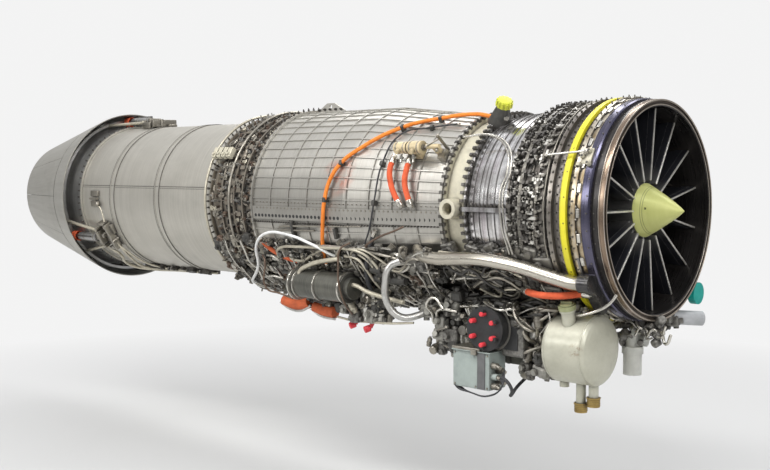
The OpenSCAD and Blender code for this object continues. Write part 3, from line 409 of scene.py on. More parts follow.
@dataclass(frozen=True)
class Sleeve:
    """A woven or wrapped hose cover with faint crosswise ribs."""

    name: str
    base: Colour
    second: Colour
    rough: float = 0.75
    pitch: float = 260.0

    def build(self) -> bpy.types.Material:
        """Returns the finished material."""
        g = Graph(bpy.data.materials.new(self.name))
        obj = g.coords()
        weave = g.noise(obj, self.pitch * 3.0, 2.0)
        folds = g.noise(obj, self.pitch * 0.35, 3.0)
        soil = g.noise(obj, 22.0, 4.0).ramp(0.5, 0.8)
        colour = g.mix(folds.ramp(0.3, 0.7), self.base, self.second)
        colour = g.mix(soil * 0.5, colour, tuple(c * 0.35 for c in self.base))
        g.surface({"Base Color": colour, "Roughness": (soil * 0.15 + self.rough), "Metallic": 0.0,
                   "Normal": g.bump(weave * 0.5 + folds, 0.5, 0.0012)})
        return g.owner


@dataclass(frozen=True)
class Milky:
    """Milky plastic that lets a little light through."""

    name: str
    base: Colour

    def build(self) -> bpy.types.Material:
        """Returns the finished material."""
        g = Graph(bpy.data.materials.new(self.name))
        haze = g.noise(g.coords(), 40.0, 4.0)
        colour = g.mix(haze.ramp(0.3, 0.7), self.base, tuple(c * 0.82 for c in self.base))
        g.surface({"Base Color": colour, "Roughness": haze * 0.2 + 0.3, "Metallic": 0.0,
                   "Transmission Weight": 0.25, "IOR": 1.45, "Normal": g.bump(haze, 0.2, 0.001)})
        return g.owner


@dataclass(frozen=True)
class Cone:
    """Satin primer of the nose cone with two scribed rings and a small hole drawn as a dark spot of painted shade.
    """

    name: str
    base: Colour
    second: Colour

    def build(self) -> bpy.types.Material:
        """Returns the finished material."""
        g = Graph(bpy.data.materials.new(self.name))
        station, turn, _, wrapped = g.around()
        lines = g.noise(g.stretch(wrapped, (90.0, 1.0, 30.0)), 1.0, 3.0)
        soft = g.noise(g.coords(), 16.0, 3.0)
        colour = g.mix((lines * 0.35 + soft * 0.65).ramp(0.3, 0.7), self.base, self.second)
        scribe = station.band(0.0335, 0.0009) + station.band(0.040, 0.0009)
        # painted shade: the small hole is only a dark spot in the colour
        hole = station.band(0.024, 0.003) * turn.band(1.45, 0.05)
        mark = (scribe * 0.65 + hole).ramp(0.0, 1.0)
        colour = g.mix(mark, colour, (0.10, 0.11, 0.03))
        g.surface({"Base Color": colour, "Roughness": lines * 0.12 + 0.36, "Metallic": 0.15,
                   "Normal": g.bump(lines * 0.4 - mark * 2.0, 0.3, 0.0006)})
        return g.owner


@dataclass(frozen=True)
class Stage:
    """Pale floor that fades into the white background far from the engine, to the eye only."""

    name: str
    base: Colour

    def build(self) -> bpy.types.Material:
        """Returns the finished material."""
        g = Graph(bpy.data.materials.new(self.name))
        soft = g.noise(g.coords(), 0.8, 3.0)
        colour = g.mix(soft, self.base, tuple(c * 0.97 for c in self.base))
        far = g.away(g.coords(), (-1.4, 0.0, 0.0)).ramp(1.9, 4.6)
        eye = g.add("ShaderNodeLightPath", {}, {}, "Is Camera Ray")
        near = g.add("ShaderNodeBsdfPrincipled", {}, {"Base Color": colour, "Roughness": soft * 0.1 + 0.8,
                                                      "Metallic": 0.0, "Specular IOR Level": 0.15})
        white = g.add("ShaderNodeEmission", {}, {"Color": (WHITE, WHITE, WHITE), "Strength": 1.0})
        g.end("ShaderNodeOutputMaterial", g.add("ShaderNodeMixShader", {}, [far * eye, near, white]))
        return g.owner


PALETTE: dict[str, "Metal | Polished | Hub | Sleeve | Milky | Cone | Stage"] = {
    f.name: f for f in (
        Metal("lip_metal", (0.30, 0.225, 0.165), (0.17, 0.12, 0.09), 0.24, 1.0, 0.6, 18.0, 0.9, reach=0.008,
              grain=Grain.ROUND),
        # lighter bronze of the lip's edge lines, which are painted highlight
        Metal("lip_edge", (0.66, 0.60, 0.52), (0.50, 0.42, 0.35), 0.28, 1.0, 0.5, 30.0, 0.3, grain=Grain.ROUND),
        Metal("intake_black", (0.016, 0.015, 0.015), (0.045, 0.04, 0.038), 0.25, 0.6, 0.5, 12.0, 0.5, reach=0.03,
              grain=Grain.ROUND),
        Hub("hub_shade", (0.22, 0.215, 0.205), (0.030, 0.031, 0.038)),
        Metal("patch_olive", (0.20, 0.16, 0.05), (0.12, 0.09, 0.03), 0.45, 0.3, 0.4, 60.0, 0.8),
        Metal("frame_blue", (0.055, 0.055, 0.095), (0.15, 0.14, 0.19), 0.20, 0.9, 0.45, 9.0, 0.6, grain=Grain.ROUND),
        Metal("strut_metal", (0.30, 0.29, 0.28), (0.20, 0.20, 0.21), 0.35, 0.9, 0.5, 30.0, 0.9, reach=0.08),
        Metal("manifold_dark", (0.035, 0.035, 0.04), (0.09, 0.085, 0.08), 0.18, 0.6, 0.4, 30.0, 0.5),
        # pale finish of small bits, its light colour partly standing in for highlights on the clutter
        Metal("bit_light", (0.82, 0.80, 0.74), (0.50, 0.48, 0.43), 0.34, 0.75, 0.4, 50.0, 0.35, reach=0.006),
        # bright steel of small parts; on the struts' forward faces it is painted highlight
        Metal("edge_bright", (0.62, 0.61, 0.58), (0.50, 0.49, 0.46), 0.30, 0.9, 0.4, 50.0, 0.4),
        Metal("belt_dark", (0.16, 0.15, 0.02), (0.10, 0.09, 0.02), 0.5, 0.0, 0.4, 50.0, 0.4),
        Metal("lever_dark", (0.17, 0.16, 0.145), (0.07, 0.065, 0.06), 0.34, 0.9, 0.4, 60.0, 1.0),
        Metal("seam_dark", (0.13, 0.12, 0.11), (0.20, 0.19, 0.17), 0.4, 0.7, 0.4, 50.0, 0.4),
        Metal("strip_grey", (0.12, 0.12, 0.12), (0.17, 0.17, 0.17), 0.45, 0.3, 0.4, 30.0, 0.4),
        Cone("nose_primer", (0.50, 0.52, 0.16), (0.58, 0.59, 0.22)),
        Polished("gold_band", (0.78, 0.73, 0.62), (0.30, 0.22, 0.12), (0.52, 0.40, 0.22), 0.26),
        Metal("belt_yellow", (0.78, 0.70, 0.02), (0.70, 0.62, 0.03), 0.42, 0.0, 0.3, 20.0, 0.5,
              grime_and_shade_colour=(0.16, 0.13, 0.02), reach=0.01),
        Polished("case_polished", (0.92, 0.91, 0.90), (0.30, 0.28, 0.27), (0.60, 0.53, 0.56), 0.16),
        Metal("case_brown", (0.36, 0.33, 0.29), (0.10, 0.085, 0.075), 0.32, 0.95, 0.4, 30.0, 1.0, grain=Grain.ROUND),
        Metal("gear_light", (0.40, 0.39, 0.35), (0.27, 0.26, 0.23), 0.50, 0.6, 0.3, 30.0, 1.0),
        Metal("lever_steel", (0.34, 0.32, 0.28), (0.15, 0.14, 0.12), 0.38, 0.9, 0.4, 60.0, 1.0),
        Metal("cream_cast", (0.62, 0.58, 0.45), (0.50, 0.47, 0.37), 0.55, 0.25, 0.3, 25.0, 0.8, reach=0.014),
        # duct skin: the tint round the spot is a painted reflection of the orange hose beside it, and the darker
        # strip round clock 88 is painted shade
        Metal("duct_skin", (0.62, 0.60, 0.55), (0.46, 0.44, 0.395), 0.38, 0.85, 0.4, 5.0, 0.75,
              grime_and_shade_colour=(0.17, 0.165, 0.15), reach=0.010, stain_and_reflection_at=(-1.22, -0.40, 0.13), stain_and_reflection_reach=0.10,
              stain_and_reflection_colour=(0.50, 0.16, 0.10), shade=(88.0, 19.0), grain=Grain.ROUND),
        Metal("grey_tube", (0.50, 0.51, 0.52), (0.40, 0.41, 0.42), 0.45, 0.2, 0.4, 20.0, 0.5, grain=Grain.LENGTH),
        Metal("valve_tan", (0.66, 0.54, 0.33), (0.56, 0.46, 0.28), 0.45, 0.1, 0.3, 30.0, 0.9),
        Metal("duct_underside", (0.20, 0.19, 0.17), (0.10, 0.095, 0.085), 0.45, 0.8, 0.4, 9.0, 1.0, grain=Grain.ROUND),
        Metal("pump_grey", (0.20, 0.195, 0.165), (0.085, 0.085, 0.075), 0.34, 0.75, 0.5, 16.0, 0.9,
              grain=Grain.ROUND),
        Metal("cast_rough", (0.30, 0.29, 0.265), (0.12, 0.115, 0.105), 0.5, 0.8, 0.5, 45.0, 1.0, bump=0.9),
        Metal("hot_steel", (0.30, 0.25, 0.19), (0.20, 0.17, 0.14), 0.45, 0.9),
        Metal("core_steel", (0.45, 0.44, 0.41), (0.34, 0.33, 0.31), 0.38, 0.95),
        Metal("burnt_steel", (0.17, 0.14, 0.12), (0.09, 0.08, 0.07), 0.55, 0.7),
        Metal("rear_metal", (0.38, 0.34, 0.28), (0.24, 0.21, 0.17), 0.40, 0.9, 0.3, 28.0, 1.0, grain=Grain.ROUND),
        Metal("pipe_skin", (0.60, 0.575, 0.515), (0.49, 0.47, 0.415), 0.42, 0.8, 0.55, 4.0, 0.6, reach=0.012,
              grain=Grain.ROUND),
        Metal("flap_skin", (0.56, 0.545, 0.50), (0.47, 0.455, 0.41), 0.42, 0.8, 0.45, 5.0, 0.7, reach=0.010,
              grain=Grain.LENGTH),
        Metal("nozzle_steel", (0.62, 0.615, 0.60), (0.32, 0.315, 0.305), 0.30, 0.9, 0.6, 12.0, 0.5, reach=0.02,
              grain=Grain.ROUND),
        Metal("gear_cast", (0.26, 0.25, 0.22), (0.17, 0.16, 0.14), 0.50, 0.7, 0.3, 30.0, 1.0),
        Metal("tank_paint", (0.55, 0.54, 0.44), (0.45, 0.44, 0.35), 0.36, 0.3, 0.25, 9.0, 0.7, coat=0.2,
              stain_and_reflection_at=(-0.112, -0.371, -0.461), stain_and_reflection_reach=0.030),
        Metal("box_paint", (0.36, 0.41, 0.38), (0.30, 0.34, 0.32), 0.50, 0.1, 0.3, 16.0, 0.7),
        Milky("bowl_milky", (0.74, 0.74, 0.68)),
        Metal("cover_black", (0.012, 0.012, 0.012), (0.03, 0.03, 0.03), 0.45, 0.0, 0.3, 30.0, 0.2),
        Metal("cap_red", (0.80, 0.05, 0.07), (0.65, 0.04, 0.05), 0.40, 0.0, 0.3, 30.0, 0.3),
        Metal("cap_teal", (0.0, 0.36, 0.30), (0.0, 0.30, 0.26), 0.45, 0.0, 0.3, 30.0, 0.3),
        Metal("cap_lime", (0.66, 0.68, 0.04), (0.55, 0.58, 0.06), 0.50, 0.0, 0.3, 30.0, 0.4),
        Metal("cap_olive", (0.36, 0.38, 0.20), (0.27, 0.29, 0.14), 0.50, 0.0, 0.3, 30.0, 0.6),
        Metal("brass", (0.50, 0.36, 0.13), (0.36, 0.25, 0.09), 0.32, 1.0, 0.4, 40.0, 0.7),
        Metal("bright_pipe", (0.70, 0.68, 0.62), (0.52, 0.49, 0.43), 0.22, 1.0, 0.4, 25.0, 0.7),
        Metal("dull_pipe", (0.42, 0.39, 0.33), (0.28, 0.26, 0.22), 0.34, 0.95, 0.4, 25.0, 0.8),
        Metal("cream_pipe", (0.60, 0.56, 0.45), (0.46, 0.42, 0.33), 0.38, 0.6, 0.4, 25.0, 0.7),
        Metal("dark_part", (0.05, 0.05, 0.048), (0.10, 0.095, 0.085), 0.42, 0.5, 0.4, 40.0, 0.6),
        Metal("brown_part", (0.17, 0.115, 0.08), (0.11, 0.075, 0.055), 0.46, 0.4, 0.4, 40.0, 0.6),
        Metal("duct_air", (0.66, 0.63, 0.55), (0.48, 0.44, 0.37), 0.24, 1.0, 0.5, 15.0, 0.7, grain=Grain.LENGTH),
        Metal("blade_dark", (0.045, 0.045, 0.05), (0.10, 0.09, 0.08), 0.35, 0.8, 0.4, 12.0, 0.9, reach=0.10),
        Sleeve("sleeve_orange", (0.86, 0.25, 0.03), (0.80, 0.20, 0.02)),
        Sleeve("sleeve_red", (0.74, 0.13, 0.05), (0.58, 0.095, 0.035), 0.9, 110.0),
        Sleeve("sleeve_white", (0.80, 0.80, 0.78), (0.70, 0.70, 0.68)),
        Sleeve("sleeve_black", (0.03, 0.03, 0.035), (0.06, 0.06, 0.06)),
        Sleeve("sleeve_rust", (0.62, 0.13, 0.04), (0.45, 0.09, 0.03), 0.7, 120.0),
        Stage("floor_pale", (0.62, 0.62, 0.61)),
    )
}
_made: dict[str, bpy.types.Material] = {}


def material(name: str) -> bpy.types.Material:
    """Returns a finish's material, built once."""
    if name not in _made:
        _made[name] = PALETTE[name].build()
    return _made[name]


# ------------------------------------------------------------- modelling tools
class Bench:
    """The modelling operators, used as by hand."""

    @staticmethod
    def clear() -> None:
        """Deselects everything."""
        for obj in bpy.context.selected_objects:
            obj.select_set(False)

    @staticmethod
    def take(obj: Obj) -> None:
        """Selects one object alone."""
        Bench.clear()
        obj.select_set(True)
        bpy.context.view_layer.objects.active = obj

    @staticmethod
    def settle(name: str) -> Obj:
        """Names the active object and puts its place into its mesh."""
        obj = bpy.context.active_object
        obj.name = name
        bpy.ops.object.transform_apply(location=True, rotation=True, scale=True)
        return obj

    @staticmethod
    def rod(name: str, a: Vector, b: Vector, radius: float, sides: int = 16, tip: float = 1.0,
            edge: float = 0.0, rounds: int = 2) -> Obj:
        """Round rod or cone from a to b.

        Args:
            name: Name of the piece.
            a: One end in metres.
            b: Other end.
            radius: Radius in metres.
            sides: Number of sides.
            tip: Radius at b as a share of the radius.
            edge: Width of its bevelled edges.
            rounds: Segments of the bevel.

        Returns:
            The rod.
        """
        Bench.clear()
        span = b - a
        turn = span.to_track_quat("Z", "Y").to_euler()
        bpy.ops.mesh.primitive_cone_add(vertices=sides, radius1=radius, radius2=radius * tip, depth=span.length,
                                        location=(a + b) / 2, rotation=turn)
        obj = Bench.settle(name)
        return Bench.bevel(obj, edge, rounds) if edge else obj

    @staticmethod
    def post(name: str, s: float, a: float, foot: float, head: float, *rest: float) -> Obj:
        """Rod at a station and clock angle, from the foot's radius to the head's, with further values of rod."""
        return Bench.rod(name, place(s, foot, a), place(s, head, a), *rest)

    @staticmethod
    def cup(name: str, a: Vector, b: Vector, radius: float, wall: float, depth: float) -> Obj:
        """Round cup, open at a.

        Args:
            name: Name of the piece.
            a: Open end in metres.
            b: Closed end.
            radius: Outer radius.
            wall: Wall thickness.
            depth: Depth of the hollow.

        Returns:
            The cup.
        """
        obj = Bench.rod(name, a, b, radius, 32)
        axis = (b - a).normalized()
        bpy.context.tool_settings.mesh_select_mode = (False, False, True)
        obj.data.polygons.foreach_set("select", [p.normal.dot(axis) < -0.9 for p in obj.data.polygons])
        bpy.ops.object.mode_set(mode="EDIT")
        bpy.ops.mesh.inset(thickness=wall)
        bpy.ops.mesh.extrude_region_move(TRANSFORM_OT_translate={"value": axis * depth})
        bpy.ops.object.mode_set(mode="OBJECT")
        return Bench.smooth(Bench.bevel(obj, wall * 0.3, 1))

    @staticmethod
    def block(name: str, centre: Vector, size: Point, clock: float = 0.0, edge: float = 0.0,
              rounds: int = 2) -> Obj:
        """Block with given sides in metres, stood up at a clock angle, with bevelled edges."""
        Bench.clear()
        bpy.ops.mesh.primitive_cube_add(size=1.0, location=centre, rotation=tilt(clock))
        bpy.context.active_object.scale = size
        obj = Bench.settle(name)
        return Bench.bevel(obj, edge, rounds) if edge else obj

    @staticmethod
    def ball(name: str, centre: Vector, radius: float) -> Obj:
        """Small round body."""
        Bench.clear()
        bpy.ops.mesh.primitive_uv_sphere_add(segments=16, ring_count=8, radius=radius, location=centre)
        return Bench.settle(name)

    @staticmethod
    def bevel(obj: Obj, width: float, segments: int = 2) -> Obj:
        """Rounds the sharp edges."""
        Bench.take(obj)
        mod = obj.modifiers.new("edges", "BEVEL")
        mod.width = width
        mod.segments = segments
        mod.limit_method = "ANGLE"
        bpy.ops.object.modifier_apply(modifier=mod.name)
        return obj

    @staticmethod
    def smooth(obj: Obj, angle: float = 35.0) -> Obj:
        """Shades smooth below an angle."""
        Bench.take(obj)
        bpy.ops.object.shade_smooth_by_angle(angle=math.radians(angle))
        return obj

    @staticmethod
    def band(name: str, r0: float, r1: float, s0: float, s1: float, edge: float = 0.0) -> Obj:
        """Ring about the engine axis, a plane spun round it.

        Args:
            name: Name of the piece.
            r0: Inner radius in millimetres.
            r1: Outer radius.
            s0: Front station.
            s1: Rear station.
            edge: Bevel of the outer edges in metres.

        Returns:
            The ring.
        """
        Bench.clear()
        centre = place((s0 + s1) / 2, (r0 + r1) / 2, 0.0)
        bpy.ops.mesh.primitive_plane_add(size=1.0, location=centre, rotation=(math.radians(90), 0, 0))
        bpy.context.active_object.scale = ((s1 - s0) * MM, (r1 - r0) * MM, 1.0)
        obj = Bench.settle(name)
        bpy.ops.object.mode_set(mode="EDIT")
        bpy.ops.mesh.select_all(action="SELECT")
        bpy.ops.mesh.delete(type="ONLY_FACE")
        bpy.ops.mesh.select_all(action="SELECT")
        bpy.ops.mesh.spin(steps=RING_STEPS, angle=math.tau, center=(0, 0, 0), axis=(1, 0, 0))
        bpy.ops.mesh.select_all(action="SELECT")
        bpy.ops.mesh.remove_doubles(threshold=1e-6)
        bpy.ops.mesh.normals_make_consistent(inside=False)
        bpy.ops.object.mode_set(mode="OBJECT")
        if edge:
            Bench.bevel(obj, edge)
        return Bench.smooth(obj)

    @staticmethod
    def tubes(name: str, routes: Sequence[tuple[Sequence[Vector], float]], sides: int = 8) -> Obj:
        """Bent tubes, each through its points and with its radius, as one mesh with closed ends."""
        Bench.clear()
        curve = bpy.data.curves.new(name, "CURVE")
        curve.dimensions = "3D"
        curve.bevel_depth = MM
        curve.bevel_resolution = max(0, sides // 2 - 1)
        curve.use_fill_caps = True
        curve.resolution_u = 5
        for points, radius in routes:
            spline = curve.splines.new("BEZIER")
            spline.bezier_points.add(len(points) - 1)
            for knot, point in zip(spline.bezier_points, points):
                knot.co, knot.radius = point, radius / MM
                knot.handle_left_type = knot.handle_right_type = "AUTO"
        obj = bpy.data.objects.new(name, curve)
        bpy.context.scene.collection.objects.link(obj)
        Bench.take(obj)
        bpy.ops.object.convert(target="MESH")
        obj = bpy.context.active_object
        bpy.ops.object.shade_smooth()
        return obj

    @staticmethod
    def tube(name: str, points: Sequence[Vector], radius: float, sides: int) -> Obj:
        """One bent tube."""
        return Bench.tubes(name, [(points, radius)], sides)

    @staticmethod
    def copies(name: str, template: Obj, spots: Iterable[Matrix]) -> Obj:
        """One mesh of many copies of a template, which is used up.

        Args:
            name: Name of the piece.
            template: The template, standing at the origin.
            spots: Matrices of the copies.

        Returns:
            The joined copies.
        """
        twins = []
        for spot in spots:
            twin = template.copy()
            twin.data = template.data.copy()
            twin.data.transform(spot)
            bpy.context.scene.collection.objects.link(twin)
            twins.append(twin)
        bpy.data.objects.remove(template)
        return Bench.join(name, twins)

    @staticmethod
    def join(name: str, parts: Sequence[Obj]) -> Obj:
        """Joins pieces to one."""
        Bench.clear()
        for part in parts:
            part.select_set(True)
        bpy.context.view_layer.objects.active = parts[0]
        if len(parts) > 1:
            bpy.ops.object.join()
        obj = bpy.context.active_object
        obj.name = name
        return obj

    @staticmethod
    def weld(name: str, parts: Sequence[Obj]) -> Obj:
        """Joins pieces to one that is shaded smooth."""
        return Bench.smooth(Bench.join(name, parts))


def finish(obj: Obj, look: str, body: str = "engine") -> Obj:
    """Dresses a new piece and lets it ride.

    Args:
        obj: The piece.
        look: Name of its finish.
        body: The body that it moves with.

    Returns:
        The piece.
    """
    obj.data.materials.clear()
    obj.data.materials.append(material(look))
    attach(obj, body)
    log.info("piece %s: %s on %s, %d faces", obj.name, look, body, len(obj.data.polygons))
    return obj


def dress(name: str, parts: Sequence[Obj], look: str) -> Obj:
    """Joins parts to one smooth piece and dresses it."""
    return finish(Bench.weld(name, parts), look)


# -------------------------------------------------------------- solids carried
WEARERS: dict[str, str] = {  # solids by finish
    "lip_metal": "inlet_ring", "strut_metal": "front_frame", "nose_primer": "nose_cone", "gold_band": "front_case",
    "belt_yellow": "ring_band", "case_polished": "fan_case_upper fan_case_lower",
    "lever_steel": "vane_ring flange_bolts", "cream_cast": "middle_frame",
    "duct_skin": "bypass_duct_upper bypass_duct_lower",
    "core_steel": "compressor_case fuel_nozzles bearings compressor_rotor tower_shaft",
    "hot_steel": "combustor_case turbine_case turbine_frame spray_bars low_pressure_turbine high_pressure_turbine",
    "burnt_steel": "combustor_liner tail_cone flame_holder jet_pipe_liner inner_petals", "rear_metal": "rear_duct",
    "pipe_skin": "jet_pipe", "nozzle_steel": "nozzle_support actuators nozzle_ring", "flap_skin": "nozzle_fairing",
    "gear_cast": "gearbox_housing alternator", "tank_paint": "oil_tank", "box_paint": "control_box",
    "bowl_milky": "filter_bowl", "cover_black": "pad_cover", "pump_grey": "fuel_pump", "duct_air": "air_duct",
    "valve_tan": "twin_valve", "cream_pipe": "steel_pipes", "cap_teal": "transit_caps", "blade_dark": "fan_rotor",
    "cap_olive": "filler_cap",
}
LOOKS: dict[str, str] = {node: look for look, nodes in WEARERS.items() for node in nodes.split()}
Rule = tuple[str, Callable[[Vector, Vector], bool]]


def polar(point: Vector) -> tuple[float, float, float]:
    """Station and radius in millimetres and clock angle in degrees of a point."""
    angle = math.degrees(math.atan2(-point.y, point.z)) % 360.0
    return -point.x / MM, math.hypot(point.y, point.z) / MM, angle


class Carried:
    """Shells over the frame's solids: merged copies with smooth curves and several finishes."""

    slots: dict[str, str] = {row["node"]: row["material_slot"] for row in frame["record"]["subparts"]}

    @staticmethod
    def shell(node: str, look: str, rules: Sequence[Rule] = ()) -> Obj:
        """Copies a solid, merges it, dresses it and lets it stand for the solid.

        Args:
            node: Name of the solid.
            look: Finish of most faces.
            rules: Further finishes with a test of a face's centre and normal, the last match holds.

        Returns:
            The shell.
        """
        source = frame["nodes"][node]
        obj = bpy.data.objects.new(node + "_shell", source.data.copy())
        bpy.context.scene.collection.objects.link(obj)
        Bench.take(obj)
        bpy.ops.mesh.customdata_custom_splitnormals_clear()
        bpy.ops.object.mode_set(mode="EDIT")
        bpy.ops.mesh.select_all(action="SELECT")
        bpy.ops.mesh.remove_doubles(threshold=1e-5)
        bpy.ops.object.mode_set(mode="OBJECT")
        Bench.smooth(obj, SOLID_ANGLE)
        finish(obj, look, body_of(source)[0])
        for number, (extra, test) in enumerate(rules, 1):
            obj.data.materials.append(material(extra))
            for face in obj.data.polygons:
                if test(face.center, face.normal):
                    face.material_index = number
        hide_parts(node)
        return obj

    @staticmethod
    def true_normals(obj: Obj, centre: tuple[float, float] = (0.0, 0.0)) -> None:
        """Turns the shading of turned faces exactly outwards from an axis that runs along x.

        Args:
            obj: The shell.
            centre: Place of the axis in y and z, in metres.
        """
        mesh = obj.data
        count = len(mesh.loops)
        corners, index = np.empty(count * 3), np.empty(count, dtype=np.int32)
        mesh.corner_normals.foreach_get("vector", corners)
        mesh.loops.foreach_get("vertex_index", index)
        corners = corners.reshape(-1, 3)
        spots, faces = np.empty(len(mesh.vertices) * 3), len(mesh.polygons)
        mesh.vertices.foreach_get("co", spots)
        spots = spots.reshape(-1, 3)
        normals, middles, sizes = np.empty(faces * 3), np.empty(faces * 3), np.empty(faces, dtype=np.int32)
        mesh.polygons.foreach_get("normal", normals)
        mesh.polygons.foreach_get("center", middles)
        mesh.polygons.foreach_get("loop_total", sizes)
        owner = np.repeat(np.arange(faces), sizes)
        normals, middles = normals.reshape(-1, 3), middles.reshape(-1, 3)
        arm = middles[:, 1:] - np.array(centre)
        arm /= np.maximum(np.linalg.norm(arm, axis=1), 1e-9)[:, None]
        radial = (normals[:, 1:] * arm).sum(axis=1)
        across = normals[:, 1] * arm[:, 1] - normals[:, 2] * arm[:, 0]
        turned = ((np.abs(across) < 0.2) & (np.abs(radial) > 0.2))[owner]
        out = spots[index][:, 1:] - np.array(centre)
        out /= np.maximum(np.linalg.norm(out, axis=1), 1e-9)[:, None]
        axial = normals[:, 0][owner]
        rest = np.sqrt(np.maximum(0.0, 1.0 - axial ** 2)) * np.sign(radial)[owner]
        exact = np.stack([axial, rest * out[:, 0], rest * out[:, 1]], axis=1)
        corners[turned] = exact[turned]
        mesh.normals_split_custom_set(corners.tolist())

    @staticmethod
    def hidden(node: str, look: str) -> None:
        """Gives an inner solid its finish only."""
        obj = frame["nodes"][node]
        obj.data.materials.clear()
        obj.data.materials.append(material(look))
        log.info("solid %s: %s", node, look)


INNER = ("compressor_case", "combustor_case", "combustor_liner", "fuel_nozzles", "turbine_case", "turbine_frame",
         "spray_bars", "flame_holder", "bearings", "low_pressure_turbine", "compressor_rotor",
         "high_pressure_turbine", "tower_shaft")
TURNED = ("inlet_ring", "front_frame", "nose_cone", "front_case", "ring_band", "fan_case_upper", "fan_case_lower",
          "vane_ring", "middle_frame", "bypass_duct_upper", "bypass_duct_lower", "rear_duct", "jet_pipe",
          "jet_pipe_liner", "nozzle_support", "nozzle_fairing", "nozzle_ring", "tail_cone", "inner_petals")


def inward(c: Vector, n: Vector) -> float:
    """Below zero where a face looks towards the engine's axis."""
    return c.y * n.y + c.z * n.z


def frame_rules() -> list[Rule]:
    """Finishes of the front frame's regions."""
    band_end, flange_end = 99.8, 112.0
    box_first, box_last = 112.0, 146.0

    def on_box(c: Vector, n: Vector) -> bool:
        """Whether a face is on the manifold's outer side or on its high end faces."""
        _, r, a = polar(c)
        return r > 386.0 and box_first < a < box_last and (r > 403.0 or abs(n.x) > 0.9 and r > 395.0)

    def on_flange(c: Vector, n: Vector) -> bool:
        """Whether a face is on the rear flange, beside the manifold."""
        s, r, a = polar(c)
        return 380.0 < r < 402.5 and band_end < s < flange_end and not box_first < a < box_last

    return [
        ("hub_shade", lambda c, n: polar(c)[1] < 372.0),
        ("intake_black", lambda c, n: inward(c, n) < 0.0 and polar(c)[1] > 300.0),
        ("frame_blue", lambda c, n: polar(c)[1] > 380.0 and polar(c)[0] < band_end),
        ("gold_band", on_flange),
        ("manifold_dark", on_box),
        # painted highlight: forward faces of the struts and vanes take the bright finish
        ("edge_bright", lambda c, n: n.x > 0.9 and 97.0 < polar(c)[1] < 362.0 and polar(c)[0] < 80.0),
    ]


def dress_solids() -> None:
    """Gives every carried solid its finish."""
    front: list[Rule] = [("case_brown", lambda c, n: polar(c)[0] < 398.0),
                         ("blade_dark", lambda c, n: polar(c)[1] < 348.0 and polar(c)[0] < 500.0)]
    inside: Rule = ("intake_black", lambda c, n: inward(c, n) < -0.01)
    rules: dict[str, list[Rule]] = {
        "inlet_ring": [inside, ("intake_black", lambda c, n: polar(c)[1] < 367.0 or polar(c)[0] > 8.0),
                       # painted highlight: forward faces at the lip's inner and outer rims take the lighter finish
                       ("lip_edge", lambda c, n: n.x > 0.9 and (polar(c)[1] < 371.4 or polar(c)[1] > 383.1))],
        "front_case": [inside, ("case_brown", lambda c, n: polar(c)[0] > 161.0)],
        # darker finish on the duct's underside, clock 112 to 250
        "bypass_duct_lower": [("duct_underside", lambda c, n: 112.0 < polar(c)[2] < 250.0)],
        "steel_pipes": [("dull_pipe", lambda c, n: 1868.0 < polar(c)[0] < 1906.0)],
        "nozzle_fairing": [("nozzle_steel", lambda c, n: inward(c, n) < -0.01)],
        "oil_tank": [("brass", lambda c, n: c.z < (-0.6635 if c.x < -0.14 else -0.6375))],
        "front_frame": frame_rules(), "fan_case_upper": front, "fan_case_lower": front,
        "fuel_pump": [("sleeve_rust", lambda c, n: c.z < -0.402 and abs(c.y + 0.25) < 0.03)],
        "vane_ring": [("lever_dark", lambda c, n: polar(c)[0] < 329.0)],
        "gearbox_housing": [("gear_light", lambda c, n: c.x < -0.60)],
    }
    axes = {"oil_tank": TANK_AXIS, "fuel_pump": PUMP_AXIS}
    for name in frame["nodes"]:
        if name == "hoses":  # the hoses of class Hoses stand for this solid
            continue
        flap = name.startswith("outer_flap_")
        look = "flap_skin" if flap else LOOKS[name]
        if name in INNER:
            Carried.hidden(name, look)
            continue
        shell = Carried.shell(name, look, rules.get(name, ()))
        if flap or name in axes or name in TURNED:
            y, z = axes.get(name, (0.0, 0.0))
            Carried.true_normals(shell, (y * MM, z * MM))


